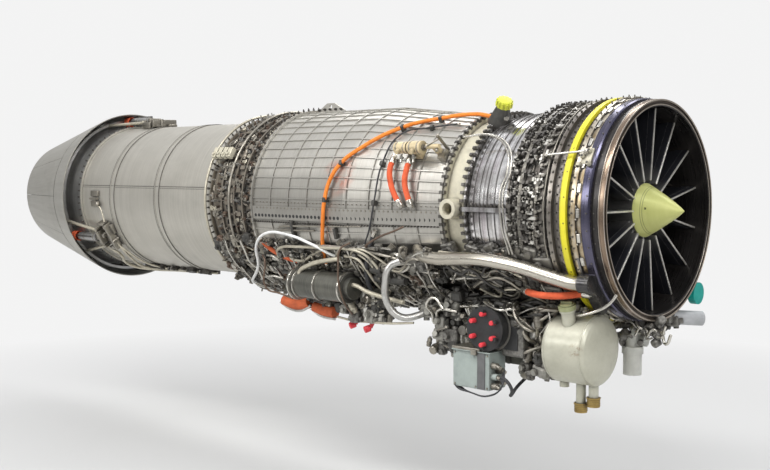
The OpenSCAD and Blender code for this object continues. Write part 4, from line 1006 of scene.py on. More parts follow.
# ------------------------------------------------------------------ small parts
class Stock:
    """Small parts that are modelled once and copied."""

    @staticmethod
    def nut(size: float, height: float) -> Obj:
        """Six-sided nut with a stub of thread, standing on the origin."""
        nut = Bench.rod("nut", Vector(), up(height), size, 6, 0.9)
        stub = Bench.rod("stub", up(height * 0.9), up(height * 1.6), size * 0.5, 6)
        return Bench.join("nut", [nut, stub])

    @staticmethod
    def lever(length: float, width: float, height: float) -> Obj:
        """Short vane lever with a boss and a pin at each end, its length forward."""
        bar = Bench.block("bar", Vector((length / 2, 0, height * 0.6)), (length, width, height * 0.35))
        boss = Bench.rod("boss", Vector(), up(height), width * 0.8, 8)
        pin = Bench.rod("pin", Vector((length, 0, height * 0.2)), Vector((length, 0, height * 1.15)), width * 0.5, 6)
        return Bench.join("lever", [bar, boss, pin])

    @staticmethod
    def bracket(length: float, width: float, height: float) -> Obj:
        """Bent clip with a raised web and two screws."""
        parts = [Bench.block("base", up(height * 0.1), (length, width, height * 0.2)),
                 Bench.block("web", Vector((0, width * 0.3, height * 0.5)), (length * 0.7, width * 0.15, height))]
        for x in (length * 0.3, -length * 0.3):
            parts.append(Bench.rod("screw", Vector((x, -width * 0.15, 0)), Vector((x, -width * 0.15, height * 0.5)),
                                   width * 0.2, 6))
        return Bench.join("bracket", parts)

    @staticmethod
    def casting(length: float, width: float, height: float) -> Obj:
        """Bevelled casting with a boss and a side flange, its foot at the origin."""
        body = Bench.block("casting", up(height / 2), (length, width, height), edge=height * 0.16, rounds=1)
        boss = Bench.rod("boss", Vector((length * 0.18, 0, height * 0.6)), Vector((length * 0.18, 0, height * 1.4)),
                         width * 0.30, 10, 0.85)
        side = Bench.rod("side", Vector((-length * 0.2, -width * 0.75, height * 0.5)),
                         Vector((-length * 0.2, width * 0.75, height * 0.5)), height * 0.30, 10)
        return Bench.join("casting", [body, boss, side])

    @staticmethod
    def can(length: float, radius: float) -> Obj:
        """Lying can with a ringed middle and a hexagonal end, its foot at the origin."""
        z = radius * 1.15
        parts = [Bench.rod("can", Vector((-length / 2, 0, z)), Vector((length / 2, 0, z)), radius, 12,
                           edge=radius * 0.2, rounds=1),
                 Bench.rod("ring", Vector((-length * 0.12, 0, z)), Vector((length * 0.02, 0, z)), radius * 1.16, 12),
                 Bench.rod("hex", Vector((length / 2, 0, z)), Vector((length * 0.66, 0, z)), radius * 0.6, 6)]
        return Bench.join("can", parts)

    @staticmethod
    def row(name: str, template: Obj, s: float, r: float, count: int, first: float = 0.0,
            last: float = TURN, turn: float = 0.0, wobble: float = 0.0) -> Obj:
        """Copies a part round the engine.

        Args:
            name: Name of the piece.
            template: Part at the origin, z outwards and x forward.
            s: Station in millimetres.
            r: Radius in millimetres.
            count: Number of copies.
            first: First clock angle.
            last: Last clock angle, left out on a full turn.
            turn: Turn of each about its own axis in degrees.
            wobble: Random part of that turn.

        Returns:
            The joined copies.
        """
        rng = random.Random(name)
        whole = last - first >= TURN
        step = (last - first) / (count if whole else max(1, count - 1))
        spots = [stand(s, r, first + i * step, turn + rng.uniform(-wobble, wobble)) for i in range(count)]
        return Bench.copies(name, template, spots)

    @staticmethod
    def rows(table: Iterable[tuple]) -> None:
        """Copies and dresses one row after the other, each given by its finish, its slot and the values of row."""
        for look, slot, *values in table:
            finish(Stock.row(*values), look)

    @staticmethod
    def scatter(name: str, template: Obj, count: int, stations: tuple[float, ...],
                clocks: tuple[float, float], radius: Callable[[float], float],
                rng: random.Random) -> Obj:
        """Copies of a part at random places, turns and sizes.

        Args:
            name: Name of the joined copies.
            template: The part, with its foot at the origin.
            count: Number of copies.
            stations: First and last station, or the stations of more than two rows.
            clocks: First and last clock angle.
            radius: Radius of the foot by station.
            rng: Random source.

        Returns:
            The joined copies.
        """
        spots = []
        free = len(stations) == 2
        loose = 22.0 if free else 5.0
        for _ in range(count):
            s = rng.uniform(*stations) if free else rng.choice(stations) + rng.uniform(-2, 2)
            spots.append(stand(s, radius(s), rng.uniform(*clocks), rng.choice((0, 90, 180, 270)) +
                               rng.uniform(-loose, loose)) @ Matrix.Scale(rng.uniform(0.65, 1.2), 4))
        return Bench.copies(name, template, spots)


# --------------------------------------------------------------- sub-assemblies
@dataclass
class Intake:
    """Lips, edge lines of painted highlight and groove of the intake ring with a black ring of painted shade in it,
    strut noses with a bright front strip of painted highlight, and fittings behind the ring.
    """

    strut_count: int = 15
    strut_foot: float = 106.0
    strut_middle: float = 0.1285
    edge: float = 0.0006

    def build(self) -> None:
        """Builds the pieces."""
        finish(Bench.band("lip_rim", 386.9, 388.4, -0.6, 21.0, self.edge), "lip_metal")
        # painted highlight: lighter lines along the lip's inner and outer front rims and its rear edge
        for name, r, half, s0 in (("lip_line_outer", 387.2, 1.3, -1.4), ("lip_line_inner", 369.4, 1.6, -1.4),
                                  ("lip_line_rear", 388.2, 1.2, 18.4)):
            finish(Bench.band(name, r - half, r + half, s0, s0 + 2.2, self.edge), "lip_edge")
        # the strut_edges strip is painted highlight along the struts' front edges
        for name, look, s, size, edge in (("strut_noses", "hub_shade", 65.0, (0.026, 0.0080, 0.257), 0.002),
                                          ("strut_edges", "bit_light", 51.0, (0.005, 0.0066, 0.2565), 0.0015)):
            nose = Bench.block("nose", up(self.strut_middle), size, edge=edge)
            finish(Stock.row(name, nose, s, self.strut_foot, self.strut_count, 90.0, 90.0 + TURN), look)
        # painted shade: a black ring inside the lip's groove
        finish(Bench.band("lip_groove", 375.2, 377.0, 4.0, 6.4, self.edge), "intake_black")
        patch = Bench.block("guide_patch", place(128, 325, 90), (0.004, 0.060, 0.088), edge=0.001)
        finish(patch, "patch_olive")
        far = [Bench.rod("far", place(*foot), place(*head), radius, sides) for foot, head, radius, sides in (
            ((22, 384, 256), (20, 404, 256), 0.010, 12), ((14, 400, 255), (34, 406, 258), 0.006, 10),
            ((24, 384, 296), (24, 400, 296), 0.008, 8))]
        dress("lip_fittings", far, "dull_pipe")
        finish(Bench.band("lip_recess", 378.7, 381.5, 31.0, 49.4, self.edge), "intake_black")
        finish(Stock.row("lip_screws", Stock.nut(2.2 * MM, 1.6 * MM), 40.0, 381.3, 48), "lever_steel")


@dataclass
class FrameDetail:
    """Bracket, link rod, gold band, pads and screws on the front frame."""

    band: float = 394.0

    def build(self) -> None:
        """Builds the pieces."""
        plate = Bench.block("bracket_plate", place(86, self.band + 3, 62), (0.040, 0.060, 0.008), 62, edge=0.002)
        feet = ((78, 59.5), (72, 66.0), (98, 62.5), (104, 66.5))
        ears = [Bench.post("ear", s, a, self.band + 2, self.band + 19, 0.0085, 16, 0.8)
                for s, a in feet]
        finish(Bench.join("bracket_ears", [plate, *ears]), "cream_cast")
        # painted shade: the holes of the bracket ears are dark pins
        holes = [Bench.post("eye", s, a, self.band + 16, self.band + 20.5, 0.0042, 12)
                 for s, a in feet[:3]]
        finish(Bench.join("bracket_eyes", holes), "dark_part")
        front, rear = place(84, 416, 60.5), place(232, 418, 62.5)
        link = [Bench.rod("rod", front, rear, 0.0038, 12), Bench.ball("tip", front, 0.0075),
                Bench.ball("tip", rear, 0.0075), Bench.rod("post", place(232, 386, 62.5), rear, 0.006, 10, 0.8)]
        dress("link_rod", link, "bright_pipe")
        finish(Bench.band("frame_gold", 394.1, 395.4, 82.0, 99.6, 0.0005), "gold_band")
        pad = Bench.block("pad", up(0.003), (0.013, 0.030, 0.006), edge=0.0015)
        Stock.rows([("bright_pipe", "front_frame_metal", "frame_pads", pad, 91.0, 395.0, 30, 6.0, 366.0)])
        screw = Stock.nut(2.6 * MM, 2.4 * MM)
        Stock.rows([("lever_steel", "bolt_steel", "frame_screws", screw, 61.0, self.band - 0.2, 40, 150.0, 475.0)])


@dataclass
class GoldCase:
    """Studs, pads and brackets on the heat-tinted case on both sides of the yellow belt."""

    radius: float = 384.0

    def build(self) -> None:
        """Builds the rows."""
        steel, gold = ("lever_steel", "bolt_steel"), "gold_coating"
        tooth = Bench.block("tooth", up(0.002), (0.009, 0.015, 0.004), edge=0.0008, rounds=1)
        plate = Bench.block("plate", up(0.002), (0.020, 0.034, 0.003), edge=0.001, rounds=1)
        Stock.rows((
            ("lever_dark", "bolt_steel", "case_studs", Stock.nut(2.4 * MM, 5 * MM), 131.0, self.radius, 90, 3.0,
             363.0),
            ("case_brown", gold, "belt_teeth", tooth, 171.5, 384.2, 84),
            ("bright_pipe", gold, "case_plates", plate, 116.0, self.radius + 1, 22, 5.0, 365.0),
            (*steel, "flange_studs", Stock.nut(3.0 * MM, 5 * MM), 112.0, 401.5, 64),
            (*steel, "belt_clips", Stock.bracket(0.014, 0.012, 0.010), 169.0, 382.0, 36, 0.0, TURN, 0, 20),
            (*steel, "aft_studs", Stock.nut(3.0 * MM, 6 * MM), 184.0, 381.5, 80),
            (*steel, "joint_nuts", Stock.nut(4.0 * MM, 5 * MM), 205.0, 396.6, 72)))
        finish(Bench.band("belt_rib", 395.5, 397.3, 158.2, 160.6, 0.0004), "belt_dark")
        mark = Bench.rod("mark", up(-0.0002), up(0.0003), 0.0026, 12)
        Stock.rows([("belt_dark", "yellow_band", "belt_marks", mark, 146.0, 400.3, 9, 20.0, 120.0)])


@dataclass
class LeverRows:
    """Dense levers, bolts, brackets and thin tubes round the fan case."""

    case: float = 372.0
    clocks: tuple[float, float] = (-60.0, 178.0)
    front: tuple[float, float] = (205.0, 383.0)
    rear: tuple[float, float] = (600.0, 344.0)

    def build(self) -> None:
        """Builds the rows and the tubes."""
        slot = "lever_steel"
        r = self.case
        Stock.rows((
            ("lever_steel", slot, "levers_front", Stock.lever(0.026, 0.008, 0.016), 262.0, r + 4, 60, 0, 360, 18),
            ("lever_dark", slot, "levers_mid", Stock.lever(0.022, 0.009, 0.022), 322.0, r, 64, 2, 362, -12, 6),
            ("lever_dark", slot, "levers_rear", Stock.lever(0.024, 0.009, 0.024), 372.0, r - 4, 64, 3, 363, 10, 8),
            ("lever_steel", slot, "case_clips", Stock.bracket(0.018, 0.014, 0.018), 292.0, r + 2, 52, 1, 361, 0, 40),
            ("lever_dark", slot, "case_nuts", Stock.nut(4.2 * MM, 9 * MM), 352.0, r + 9, 72),
            ("lever_dark", slot, "rear_nuts", Stock.nut(4.4 * MM, 8 * MM), 388.0, r + 1, 64)))
        rng = random.Random(5)
        lines = (263.0, 277.0, 292.0, 306.0, 321.0, 337.0, 352.0, 366.0, 380.0, 392.0)
        plate = Bench.block("plate", up(0.004), (0.011, 0.020, 0.008), edge=0.0015, rounds=1)
        # the pale bits partly stand in for highlights, painted into their colour
        for name, template, count, look in (
                ("bits_lever", Stock.lever(0.015, 0.006, 0.015), 190, "lever_steel"),
                ("bits_plate", plate, 270, "bit_light"),
                ("bits_block", Stock.bracket(0.013, 0.012, 0.012), 150, "bit_light"),
                ("bits_dark", Stock.bracket(0.014, 0.014, 0.009), 110, "dark_part"),
                ("bits_nut", Stock.nut(0.0044, 0.010), 220, "dull_pipe"),
                ("bits_cream", Stock.lever(0.014, 0.007, 0.010), 80, "bit_light")):
            finish(Stock.scatter(name, template, count, lines, self.clocks, self.surface, rng), look)
        for s, look in ((270.0, "edge_bright"), (299.0, "dull_pipe"), (329.0, "bright_pipe"), (359.0, "dull_pipe"),
                        (386.0, "bright_pipe")):
            r = self.surface(s)
            finish(Bench.band(f"lever_band_{s:.0f}", r - 1.0, r + 4.5, s, s + 3.0, 0.0006), look)
        few = Stock.scatter("front_bits", Stock.bracket(0.016, 0.014, 0.010), 46, (222.0, 236.0, 250.0),
                            self.clocks, self.surface, rng)
        finish(few, "lever_steel")
        route = ((640, 48.1), (512, 48.4), (402, 58.7), (376, 70.7), (391, 80.4), (384, 97.2), (368, 112.2))
        pair = [([place(s + shift, 395 + (s < 600) * 8, a) for s, a in route], 0.0036) for shift in (0.0, 13.0)]
        finish(Bench.tubes("bent_tubes", pair), "bright_pipe")
        hoop_s = 229.0
        hoop = [place(hoop_s + 1.2 * math.sin(a * 0.31), self.surface(hoop_s) + 12, a) for a in range(-60, 176, 4)]
        finish(Bench.tube("lever_hoop", hoop, 0.0028, 8), "dull_pipe")

    def surface(self, s: float) -> float:
        """Radius of the fan case at a station."""
        (s0, r0), (s1, r1) = self.front, self.rear
        return r0 - (s - s0) * (r0 - r1) / (s1 - s0)


@dataclass
class SplitLine:
    """Bolts along the lengthwise flanges and rows on the middle frame's flanges."""

    flange_y: float = -364.0
    flange_top: float = 8.5
    frame_r: float = 357.0

    def build(self) -> None:
        """Builds the rows."""
        spots = [Matrix.Translation(mm(-s, self.flange_y, self.flange_top)) for s in range(402, 592, 17)]
        finish(Bench.copies("case_split_bolts", Stock.nut(0.0052, 0.009), spots), "lever_dark")
        for name, s in (("mid_bolts_front", 600.0), ("mid_bolts_rear", 700.0)):
            parts = [Bench.block("block", up(0.004), (0.026, 0.011, 0.012)),
                     Bench.rod("head", up(0.008), up(0.013), 0.0048, 8)]
            Stock.rows([("lever_dark", "bolt_steel", name, Bench.join("block", parts), s, self.frame_r, 76)])


@dataclass
class Duct:
    """Holes drawn as black discs of painted shade, bolts and rails of the bypass duct's split strap."""

    pitch: float = 22.0
    strap: tuple[int, int] = (730, 1720)

    def along(self, first: int, pitch: int, height: float, clock: float) -> list[Matrix]:
        """Places along the strap, from a station on with a pitch, over the skin at a clock angle."""
        return [stand(s, self.skin(s) + height, clock) for s in range(first, self.strap[1] + 10, pitch)]

    def build(self) -> None:
        """Builds the rows."""
        small, large = [], []
        first, last = self.strap
        for i in range(int((last - first) / self.pitch)):
            s = first - 2 + i * self.pitch
            r = self.skin(s) + 9.4
            small.append(stand(s, r, 92.6))
            large.append(stand(s + self.pitch / 2, r, 97.2))
        disc = Bench.rod("disc", up(-0.001), up(0.0008), 0.0038, 10)
        finish(Bench.copies("strap_screws", disc, small), "dull_pipe")
        # painted shade: the strap's holes are flat black discs
        disc = Bench.rod("disc", up(-0.001), up(0.0006), 0.0068, 14)
        finish(Bench.copies("strap_holes", disc, large), "cover_black")
        for name, nut, spots, look in (
                ("strap_bolts", Stock.nut(0.0034, 0.006), self.along(724, 15, 4.6, 101.2), "lever_dark"),
                ("strap_rivets", Stock.nut(0.0026, 0.004), self.along(730, 22, 4.8, 89.3), "dull_pipe")):
            finish(Bench.copies(name, nut, spots), look)
        rails = [([place(s, self.skin(s) + 12, a) for s, a in route], 0.0042)
                 for route in (((1566, 104.4), (1556, 103.6), (1320, 102.3), (1083, 101.4)),
                               ((1580, 107.0), (1562, 106.1), (1454, 105.4), (1346, 104.9)))]
        finish(Bench.tubes("duct_rails", rails), "dull_pipe")
        holds = [Bench.block("hold", place(s, self.skin(s) + 9, 106.0), (0.014, width, 0.020), 106.0, edge=0.003)
                 for s, width in ((1478, 0.085), (1225, 0.045))]
        finish(Bench.join("rail_holds", holds), "dark_part")

    @staticmethod
    def skin(s: float) -> float:
        """Radius of the duct's skin."""
        return 351.0 + (402.0 - 351.0) * (s - 700.0) / 480.0 if s < 1180.0 else 402.0


@dataclass
class AftRing:
    """Bolts, brackets and connector block on the ring behind the duct."""

    surface: float = 388.0
    block_clock: float = 59.0

    def build(self) -> None:
        """Builds the rows."""
        r = self.surface
        Stock.rows((look, "bolt_steel", name, template, s, radius, count, 0, TURN, 0, 12) for
                   name, template, s, radius, count, look in (
                       ("aft_a", Stock.nut(0.005, 0.009), 1739.0, 414.0, 84, "lever_dark"),
                       ("aft_b", Stock.bracket(0.024, 0.016, 0.016), 1765.0, r, 48, "rear_metal"),
                       ("aft_c", Stock.nut(0.006, 0.012), 1786.0, r, 60, "lever_dark"),
                       ("aft_d", Stock.nut(0.005, 0.010), 1816.0, 392.0, 64, "lever_dark"),
                       ("aft_e", Stock.bracket(0.026, 0.018, 0.018), 1858.0, r, 44, "brown_part"),
                       ("aft_f", Stock.nut(0.007, 0.014), 1902.0, r, 54, "lever_dark"),
                       ("aft_g", Stock.bracket(0.022, 0.020, 0.018), 1936.0, r, 40, "rear_metal"),
                       ("aft_h", Stock.nut(0.005, 0.010), 1974.0, 386.0, 72, "lever_dark"),
                       ("aft_i", Stock.bracket(0.026, 0.014, 0.015), 2004.0, 378.0, 46, "brown_part"),
                       ("aft_j", Stock.nut(0.0048, 0.009), 2064.0, 385.5, 84, "lever_dark")))
        rng = random.Random(31)
        for name, template, count, look in (
                ("aft_cans", Stock.can(0.034, 0.008), 110, "rear_metal"),
                ("aft_blocks", Stock.casting(0.026, 0.018, 0.014), 150, "dull_pipe"),
                ("aft_dark", Stock.bracket(0.026, 0.020, 0.014), 120, "dark_part"),
                ("aft_nuts", Stock.nut(0.006, 0.018), 230, "edge_bright"),
                ("aft_light", Stock.casting(0.024, 0.016, 0.010), 130, "cream_pipe"),
                ("aft_brown", Stock.casting(0.022, 0.016, 0.012), 60, "brown_part")):
            finish(Stock.scatter(name, template, count, (1758.0, 2034.0), (0.0, TURN), lambda s: self.surface, rng),
                   look)
        blocks, a = [], self.block_clock
        for s in (1928, 1962, 1996, 2030):
            blocks += [Bench.block("box", place(s, 424, a), (0.027, 0.050, 0.026), a, edge=0.003),
                       Bench.post("stem", s, a, 386, 420, 0.007, 10),
                       Bench.post("knob", s, a + 1.5, 436, 444, 0.008, 12, 0.8)]
        finish(Bench.join("connector_block", blocks), "cream_cast")


@dataclass
class TopSide:
    """Capped cone on the duct's front end and bolts of the hanger plate."""

    clock: float = 24.0
    rib_count: int = 12
    hanger_z: float = 0.418

    def build(self) -> None:
        """Builds the pieces."""
        foot, head = place(600, 350, self.clock), place(560, 418, self.clock)
        cone = Bench.smooth(Bench.rod("cone_fitting", foot, head, 0.046, 28, 0.5))
        finish(cone, "dark_part")
        span = (head - foot).normalized()
        parts = [Bench.rod("cap", head - span * 0.004, head + span * 0.026, 0.029, 20, 0.94, 0.004)]
        side = span.cross(Vector((0, 1, 0))).normalized()
        for i in range(self.rib_count):
            out = head + Matrix.Rotation(math.tau * i / self.rib_count, 3, span) @ side * 0.028
            parts.append(Bench.rod("rib", out, out + span * 0.022, 0.0055, 8, 0.8))
        dress("lime_cap", parts, "cap_lime")
        spots = [Matrix.Translation(Vector((-s, -0.0055, self.hanger_z))) @ Matrix.Rotation(math.radians(90), 4, "X")
                 for s in (1.585, 1.62, 1.655, 1.69, 1.725)]
        finish(Bench.copies("hanger_bolts", Stock.nut(0.0062, 0.007), spots), "lever_dark")


@dataclass
class ValveDetail:
    """Bands, knob and linkage of the cream twin valve."""

    clock: float = 58.0
    radius: float = 428.0

    def at(self, s: float, out: float = 0.0, turn: float = 0.0) -> Vector:
        """Point at a station, a distance out from the valve's axis and degrees round from it."""
        return place(s, self.radius + out, self.clock + turn)

    def build(self) -> None:
        """Builds the pieces."""
        bands = [Bench.rod("band", self.at(s), self.at(s + w), r, 32, edge=0.0012)
                 for s, w, r in ((801, 5, 0.0262), (838, 6, 0.0264), (853, 8, 0.0165), (872, 5, 0.0242),
                                 (908, 6, 0.0244))]
        dress("valve_bands", bands, "dull_pipe")
        link = [Bench.rod("knob", self.at(789), self.at(783), 0.011, 20),
                Bench.rod("link", self.at(786), self.at(742, -8, -2), 0.004, 10),
                Bench.rod("link", self.at(770, 9), self.at(735, -2, -5), 0.003, 8)]
        link += [Bench.ball("joint", self.at(s, out, turn), 0.007)
                 for s, out, turn in ((744, -8, -2), (735, 10, -6), (728, -10, 1))]
        link += [Bench.rod("post", place(735, 352, self.clock - 6), self.at(735, 8, -6), 0.006, 10),
                 Bench.block("mount", place(728, 372, self.clock), (0.03, 0.04, 0.03), self.clock)]
        dress("valve_linkage", link, "dull_pipe")
        fittings = []
        for s in (842, 905):
            for a0, a1, r0, r1 in ((60.8, 62.2, 412, 404), (62.2, 64.5, 404, 398)):
                fittings.append(Bench.rod("fit", place(s, r0, a0), place(s, r1, a1), 0.0055, 12))
            fittings.append(Bench.rod("nut", place(s, 405, 61.6), place(s, 401, 62.6), 0.0095, 6))
        finish(Bench.join("valve_fittings", fittings), "bright_pipe")


@dataclass
class PipeSeams:
    """Seams, band lines and latch of the jet pipe, and bolts of the nozzle support."""

    ends: tuple[int, int] = (2070, 3170)
    clock: float = 80.4

    def build(self) -> None:
        """Builds the pieces."""
        first, last = self.ends
        seam = [Bench.rod("seam", place(first, 371.6, self.clock), place(last, 371.6, self.clock), 0.0014, 6)]
        for s0, s1 in ((first, 2470), (2525, 2862), (2915, last)):
            seam.append(Bench.rod("seam", place(s0, 371.4, 81.8), place(s1, 371.4, 81.8), 0.0009, 6))
        finish(Bench.join("pipe_seam", seam), "seam_dark")
        lines = [Bench.band("line", 373.6, 374.9, s - 1, s + 1) for s in (2478, 2518, 2869, 2909)]
        finish(Bench.join("band_lines", lines), "seam_dark")
        parts = [Bench.block("latch", place(3040, 378, a), (0.070, 0.030, 0.012), a, edge=0.003) for a in (87, 95)]
        parts.append(Bench.rod("pin", place(3005, 384, 91), place(3078, 384, 91), 0.006, 12))
        parts.append(Bench.ball("end", place(3005, 386, 95), 0.011))
        dress("latch", parts, "dull_pipe")
        # no bolts under the actuators, whose sleeves slide there
        spots = [stand(3186.0, 381.0, a) for a in range(5, 365, 5) if all(abs(a - c) > 5 for c in (120, 240, 360))]
        finish(Bench.copies("support_bolts", Stock.nut(0.0045, 0.007), spots), "lever_dark")


@dataclass
class ActuatorDetail:
    """Stay rods, sleeve, bracket and pipes of each nozzle actuator, and fittings under the jet pipe."""

    clocks: tuple[float, ...] = (1.0, 121.0, 241.0)

    def bracket(self, a: float) -> Obj:
        """Machined bracket that holds one actuator, at a clock angle."""
        parts = [Bench.block("web", place(s, 373 + size[2] / MM / 2, a + da), size, a, edge=0.003)
                 for s, da, size in ((2955, -6, (0.085, 0.050, 0.018)), (2985, 4, (0.110, 0.060, 0.014)),
                                     (2940, 0, (0.016, 0.150, 0.040)), (3030, 0, (0.020, 0.074, 0.050)),
                                     (2990, -11, (0.060, 0.012, 0.036)), (2995, 11, (0.070, 0.012, 0.034)))]
        parts += [Bench.post("boss", s, a + da, 376, 416, r, 16, 0.8)
                  for s, da, r in ((2948, -9, 0.012), (2990, -2, 0.014), (2962, 8, 0.011), (3034, -7, 0.011),
                                   (3036, 8, 0.011), (2930, 3, 0.009))]
        return Bench.join("bracket", parts)

    def build(self) -> None:
        """Builds the pieces of all three."""
        rods, brackets, dark = [], [], []
        axis = ACTUATOR_R
        for number, a in enumerate(self.clocks):
            rods += [Bench.rod("rod", place(3300, 407, a - 12), place(3045, 404, a - 5.6), 0.0088, 16, 0.9),
                     Bench.rod("rod", place(3330, 407, a + 17.5), place(3046, 404, a + 8.5), 0.0078, 16, 0.9),
                     Bench.ball("eye", place(3045, 404, a - 5.6), 0.013),
                     Bench.ball("eye", place(3046, 404, a + 8.5), 0.012)]
            brackets.append(self.bracket(a))
            brackets.append(Bench.rod("shank", place(3035, axis, a), place(3064, axis, a), 0.013, 16))
            for s in (3075, 3168):
                brackets.append(Bench.rod("band", place(s, axis, a), place(s + 7, axis, a), 0.0232, 32, edge=0.001))
            dark += [Bench.rod("line", place(3080, 434, a - 2.5), place(3205, 434, a - 2.5), 0.0042, 8),
                     Bench.rod("line", place(3100, 386, a + 5.5), place(2960, 384, a + 7), 0.0050, 8)]
            sleeve = Bench.cup(f"actuator_sleeve_{number}", place(3242, axis, a), place(3286, axis, a), 0.0262,
                               0.0018, 0.041)
            finish(sleeve, "sleeve_red", "nozzle_drive")
        dress("stay_rods", rods, "cream_pipe")
        dress("actuator_brackets", brackets, "dull_pipe")
        dress("actuator_lines", dark, "lever_dark")
        pipes = (([(2956, 396, 108.6), (2989, 384, 97.8), (3034, 380, 94.9), (3040, 378, 90)], 0.0035),
                 ([(3040, 402, 130), (2990, 400, 139), (3060, 398, 152), (3075, 400, 163), (2980, 400, 172),
                   (2800, 394, 177), (2560, 390, 176)], 0.0075),
                 ([(2940, 395, 124), (2925, 398, 142), (2960, 398, 160), (2900, 396, 170), (2700, 390, 171),
                   (2450, 386, 174)], 0.006),
                 ([(2930, 396, 130), (2880, 390, 150), (2840, 388, 166), (2620, 384, 167)], 0.005))
        finish(Bench.tubes("nozzle_pipes", [(trail(route), r) for route, r in pipes], 10), "cream_pipe")
        rng = random.Random(5)
        clutter = []
        for _ in range(26):
            s, a = rng.uniform(2480, 3060), rng.uniform(162, 184)
            size = (rng.uniform(0.02, 0.06), 0.026, rng.uniform(0.014, 0.032))
            clutter.append(Bench.block("bit", place(s, 382, a), size, a, edge=0.002, rounds=1))
        for _ in range(20):
            s, a = rng.uniform(2480, 3060), rng.uniform(160, 186)
            clutter.append(Bench.post("bit", s, a, 380, 398, rng.uniform(0.004, 0.010), 10))
        finish(Bench.join("belly_fittings", clutter), "lever_dark")


@dataclass
class TankDetail:
    """Ridges, brass caps and neck pipe of the oil tank, the fittings behind it and the open grey tube."""

    radius: float = 122.0

    def build(self) -> None:
        """Builds the pieces."""
        (y, z), r = TANK_AXIS, self.radius
        ridge = [Bench.rod("ridge", mm(x, y, z), mm(x + w, y, z), (r + h) * MM, 72, edge=0.0015)
                 for x, w, h in ((-101.0, 5.0, 1.6), (-240.0, 4.0, 1.2))]
        dress("tank_ridges", ridge, "tank_paint")
        caps = []
        for x, z0 in ((-162.0, -696.0), (-112.0, -670.0)):
            for step in (4.0, 10.0, 16.0, 22.0):
                caps.append(Bench.rod("thread", mm(x, y, z0 + step), mm(x, y, z0 + step + 2.6), 0.0232, 32))
            caps.append(Bench.rod("flange", mm(x, y, z0 + 28), mm(x, y, z0 + 32.6), 0.0255, 8))
        dress("brass_caps", caps, "brass")
        neck = spots_mm([(-150, -315, -352), (-120, -322, -346), (-70, -318, -330), (-30, -300, -305),
                         (-8, -285, -272)])
        finish(Bench.tube("neck_pipe", neck, 0.0055, 12), "bright_pipe")
        rng = random.Random(17)
        parts = []
        for _ in range(26):
            x, z = rng.uniform(-150, 10), rng.uniform(-470, -392)
            size = rng.uniform(0.008, 0.020)
            parts.append(Bench.rod("fitting", mm(x, rng.uniform(-20, 10), z),
                                   mm(x + rng.uniform(-26, 26), -36, z + rng.uniform(-20, 20)), size,
                                   rng.choice((6, 12, 16)), 0.9, size * 0.2, 1))
        dress("bowl_fittings", parts, "cast_rough")
        loops = []
        for _ in range(9):
            x, z = rng.uniform(-150, 0), rng.uniform(-450, -395)
            route = [mm(x + 22 * k, -30 + rng.uniform(-16, 10), z + rng.uniform(-22, 26)) for k in range(4)]
            loops.append((route, rng.uniform(0.003, 0.006)))
        finish(Bench.tubes("bowl_loops", loops), "bright_pipe")
        tube = Bench.cup("grey_tube", mm(14, 296, -410), mm(-58, 196, -401), 0.027, 0.002, 0.060)
        finish(Bench.smooth(tube), "grey_tube")


@dataclass
class BoxDetail:
    """Lid, side strip, connectors and cables of the control box."""

    cable_count: int = 5

    def build(self) -> None:
        """Builds the pieces."""
        strip = Bench.block("box_strip", Vector((-0.520, -0.3515, -0.5875)), (0.034, 0.003, 0.134), edge=0.001)
        finish(strip, "strip_grey")
        lid = Bench.block("box_lid", Vector((-0.590, -0.302, -0.511)), (0.128, 0.108, 0.010), edge=0.002)
        finish(lid, "dull_pipe")
        latch = Bench.block("latch", Vector((-0.548, -0.357, -0.520)), (0.022, 0.012, 0.018))
        screws = [Bench.rod("screw", Vector((x, -0.349, z)), Vector((x, -0.3535, z)), 0.0032, 8)
                  for x in (-0.642, -0.545, -0.493) for z in (-0.647, -0.529)]
        finish(Bench.join("box_fittings", [latch, *screws]), "dull_pipe")
        plugs = []
        for y, z in ((-0.330, -0.565), (-0.330, -0.605), (-0.330, -0.640), (-0.300, -0.585), (-0.300, -0.625)):
            plugs.append(Bench.rod("plug", Vector((-0.486, y, z)), Vector((-0.462, y, z)), 0.012, 16))
            plugs.append(Bench.rod("plug", Vector((-0.464, y, z)), Vector((-0.446, y - 0.004, z - 0.004)), 0.009, 12,
                                   0.8))
        dress("box_plugs", plugs, "dull_pipe")
        cables = []
        for number in range(self.cable_count):
            k = number * 0.006
            route = ((-0.448, -0.332 + k, -0.606 + k), (-0.43, -0.345, -0.63),
                     (-0.475 - k, -0.362 + k, -0.668 - k * 0.4), (-0.56, -0.362 + k, -0.668 - k * 0.4),
                     (-0.64, -0.35 + k, -0.655), (-0.672, -0.31, -0.61), (-0.69, -0.25, -0.52))
            cables.append(([Vector(q) for q in route], 0.0028))
        finish(Bench.tubes("box_cables", cables), "sleeve_black")


@dataclass
class PadDetail:
    """Red caps of the black pad, rings of the alternator."""

    cap_count: int = 6

    def build(self) -> None:
        """Builds the pieces."""
        caps = []
        for number in range(self.cap_count):
            a = math.radians(90 + 360 / self.cap_count * number)
            x, z = PAD_X + 0.052 * math.cos(a), PAD_Z + 0.056 * math.sin(a)
            caps.append(Bench.rod("cap", Vector((x, -0.344, z)), Vector((x, -0.371, z)), 0.0095, 16, 0.9, 0.002))
        dress("red_caps", caps, "cap_red")
        rings = [Bench.rod("ring", Vector((PAD_X, y, PAD_Z)), Vector((PAD_X, y - w, PAD_Z)), r, 48, edge=0.001)
                 for y, w, r in ((-0.300, 0.006, 0.086), (-0.262, 0.005, 0.067), (-0.222, 0.006, 0.068))]
        dress("alternator_rings", rings, "gear_cast")


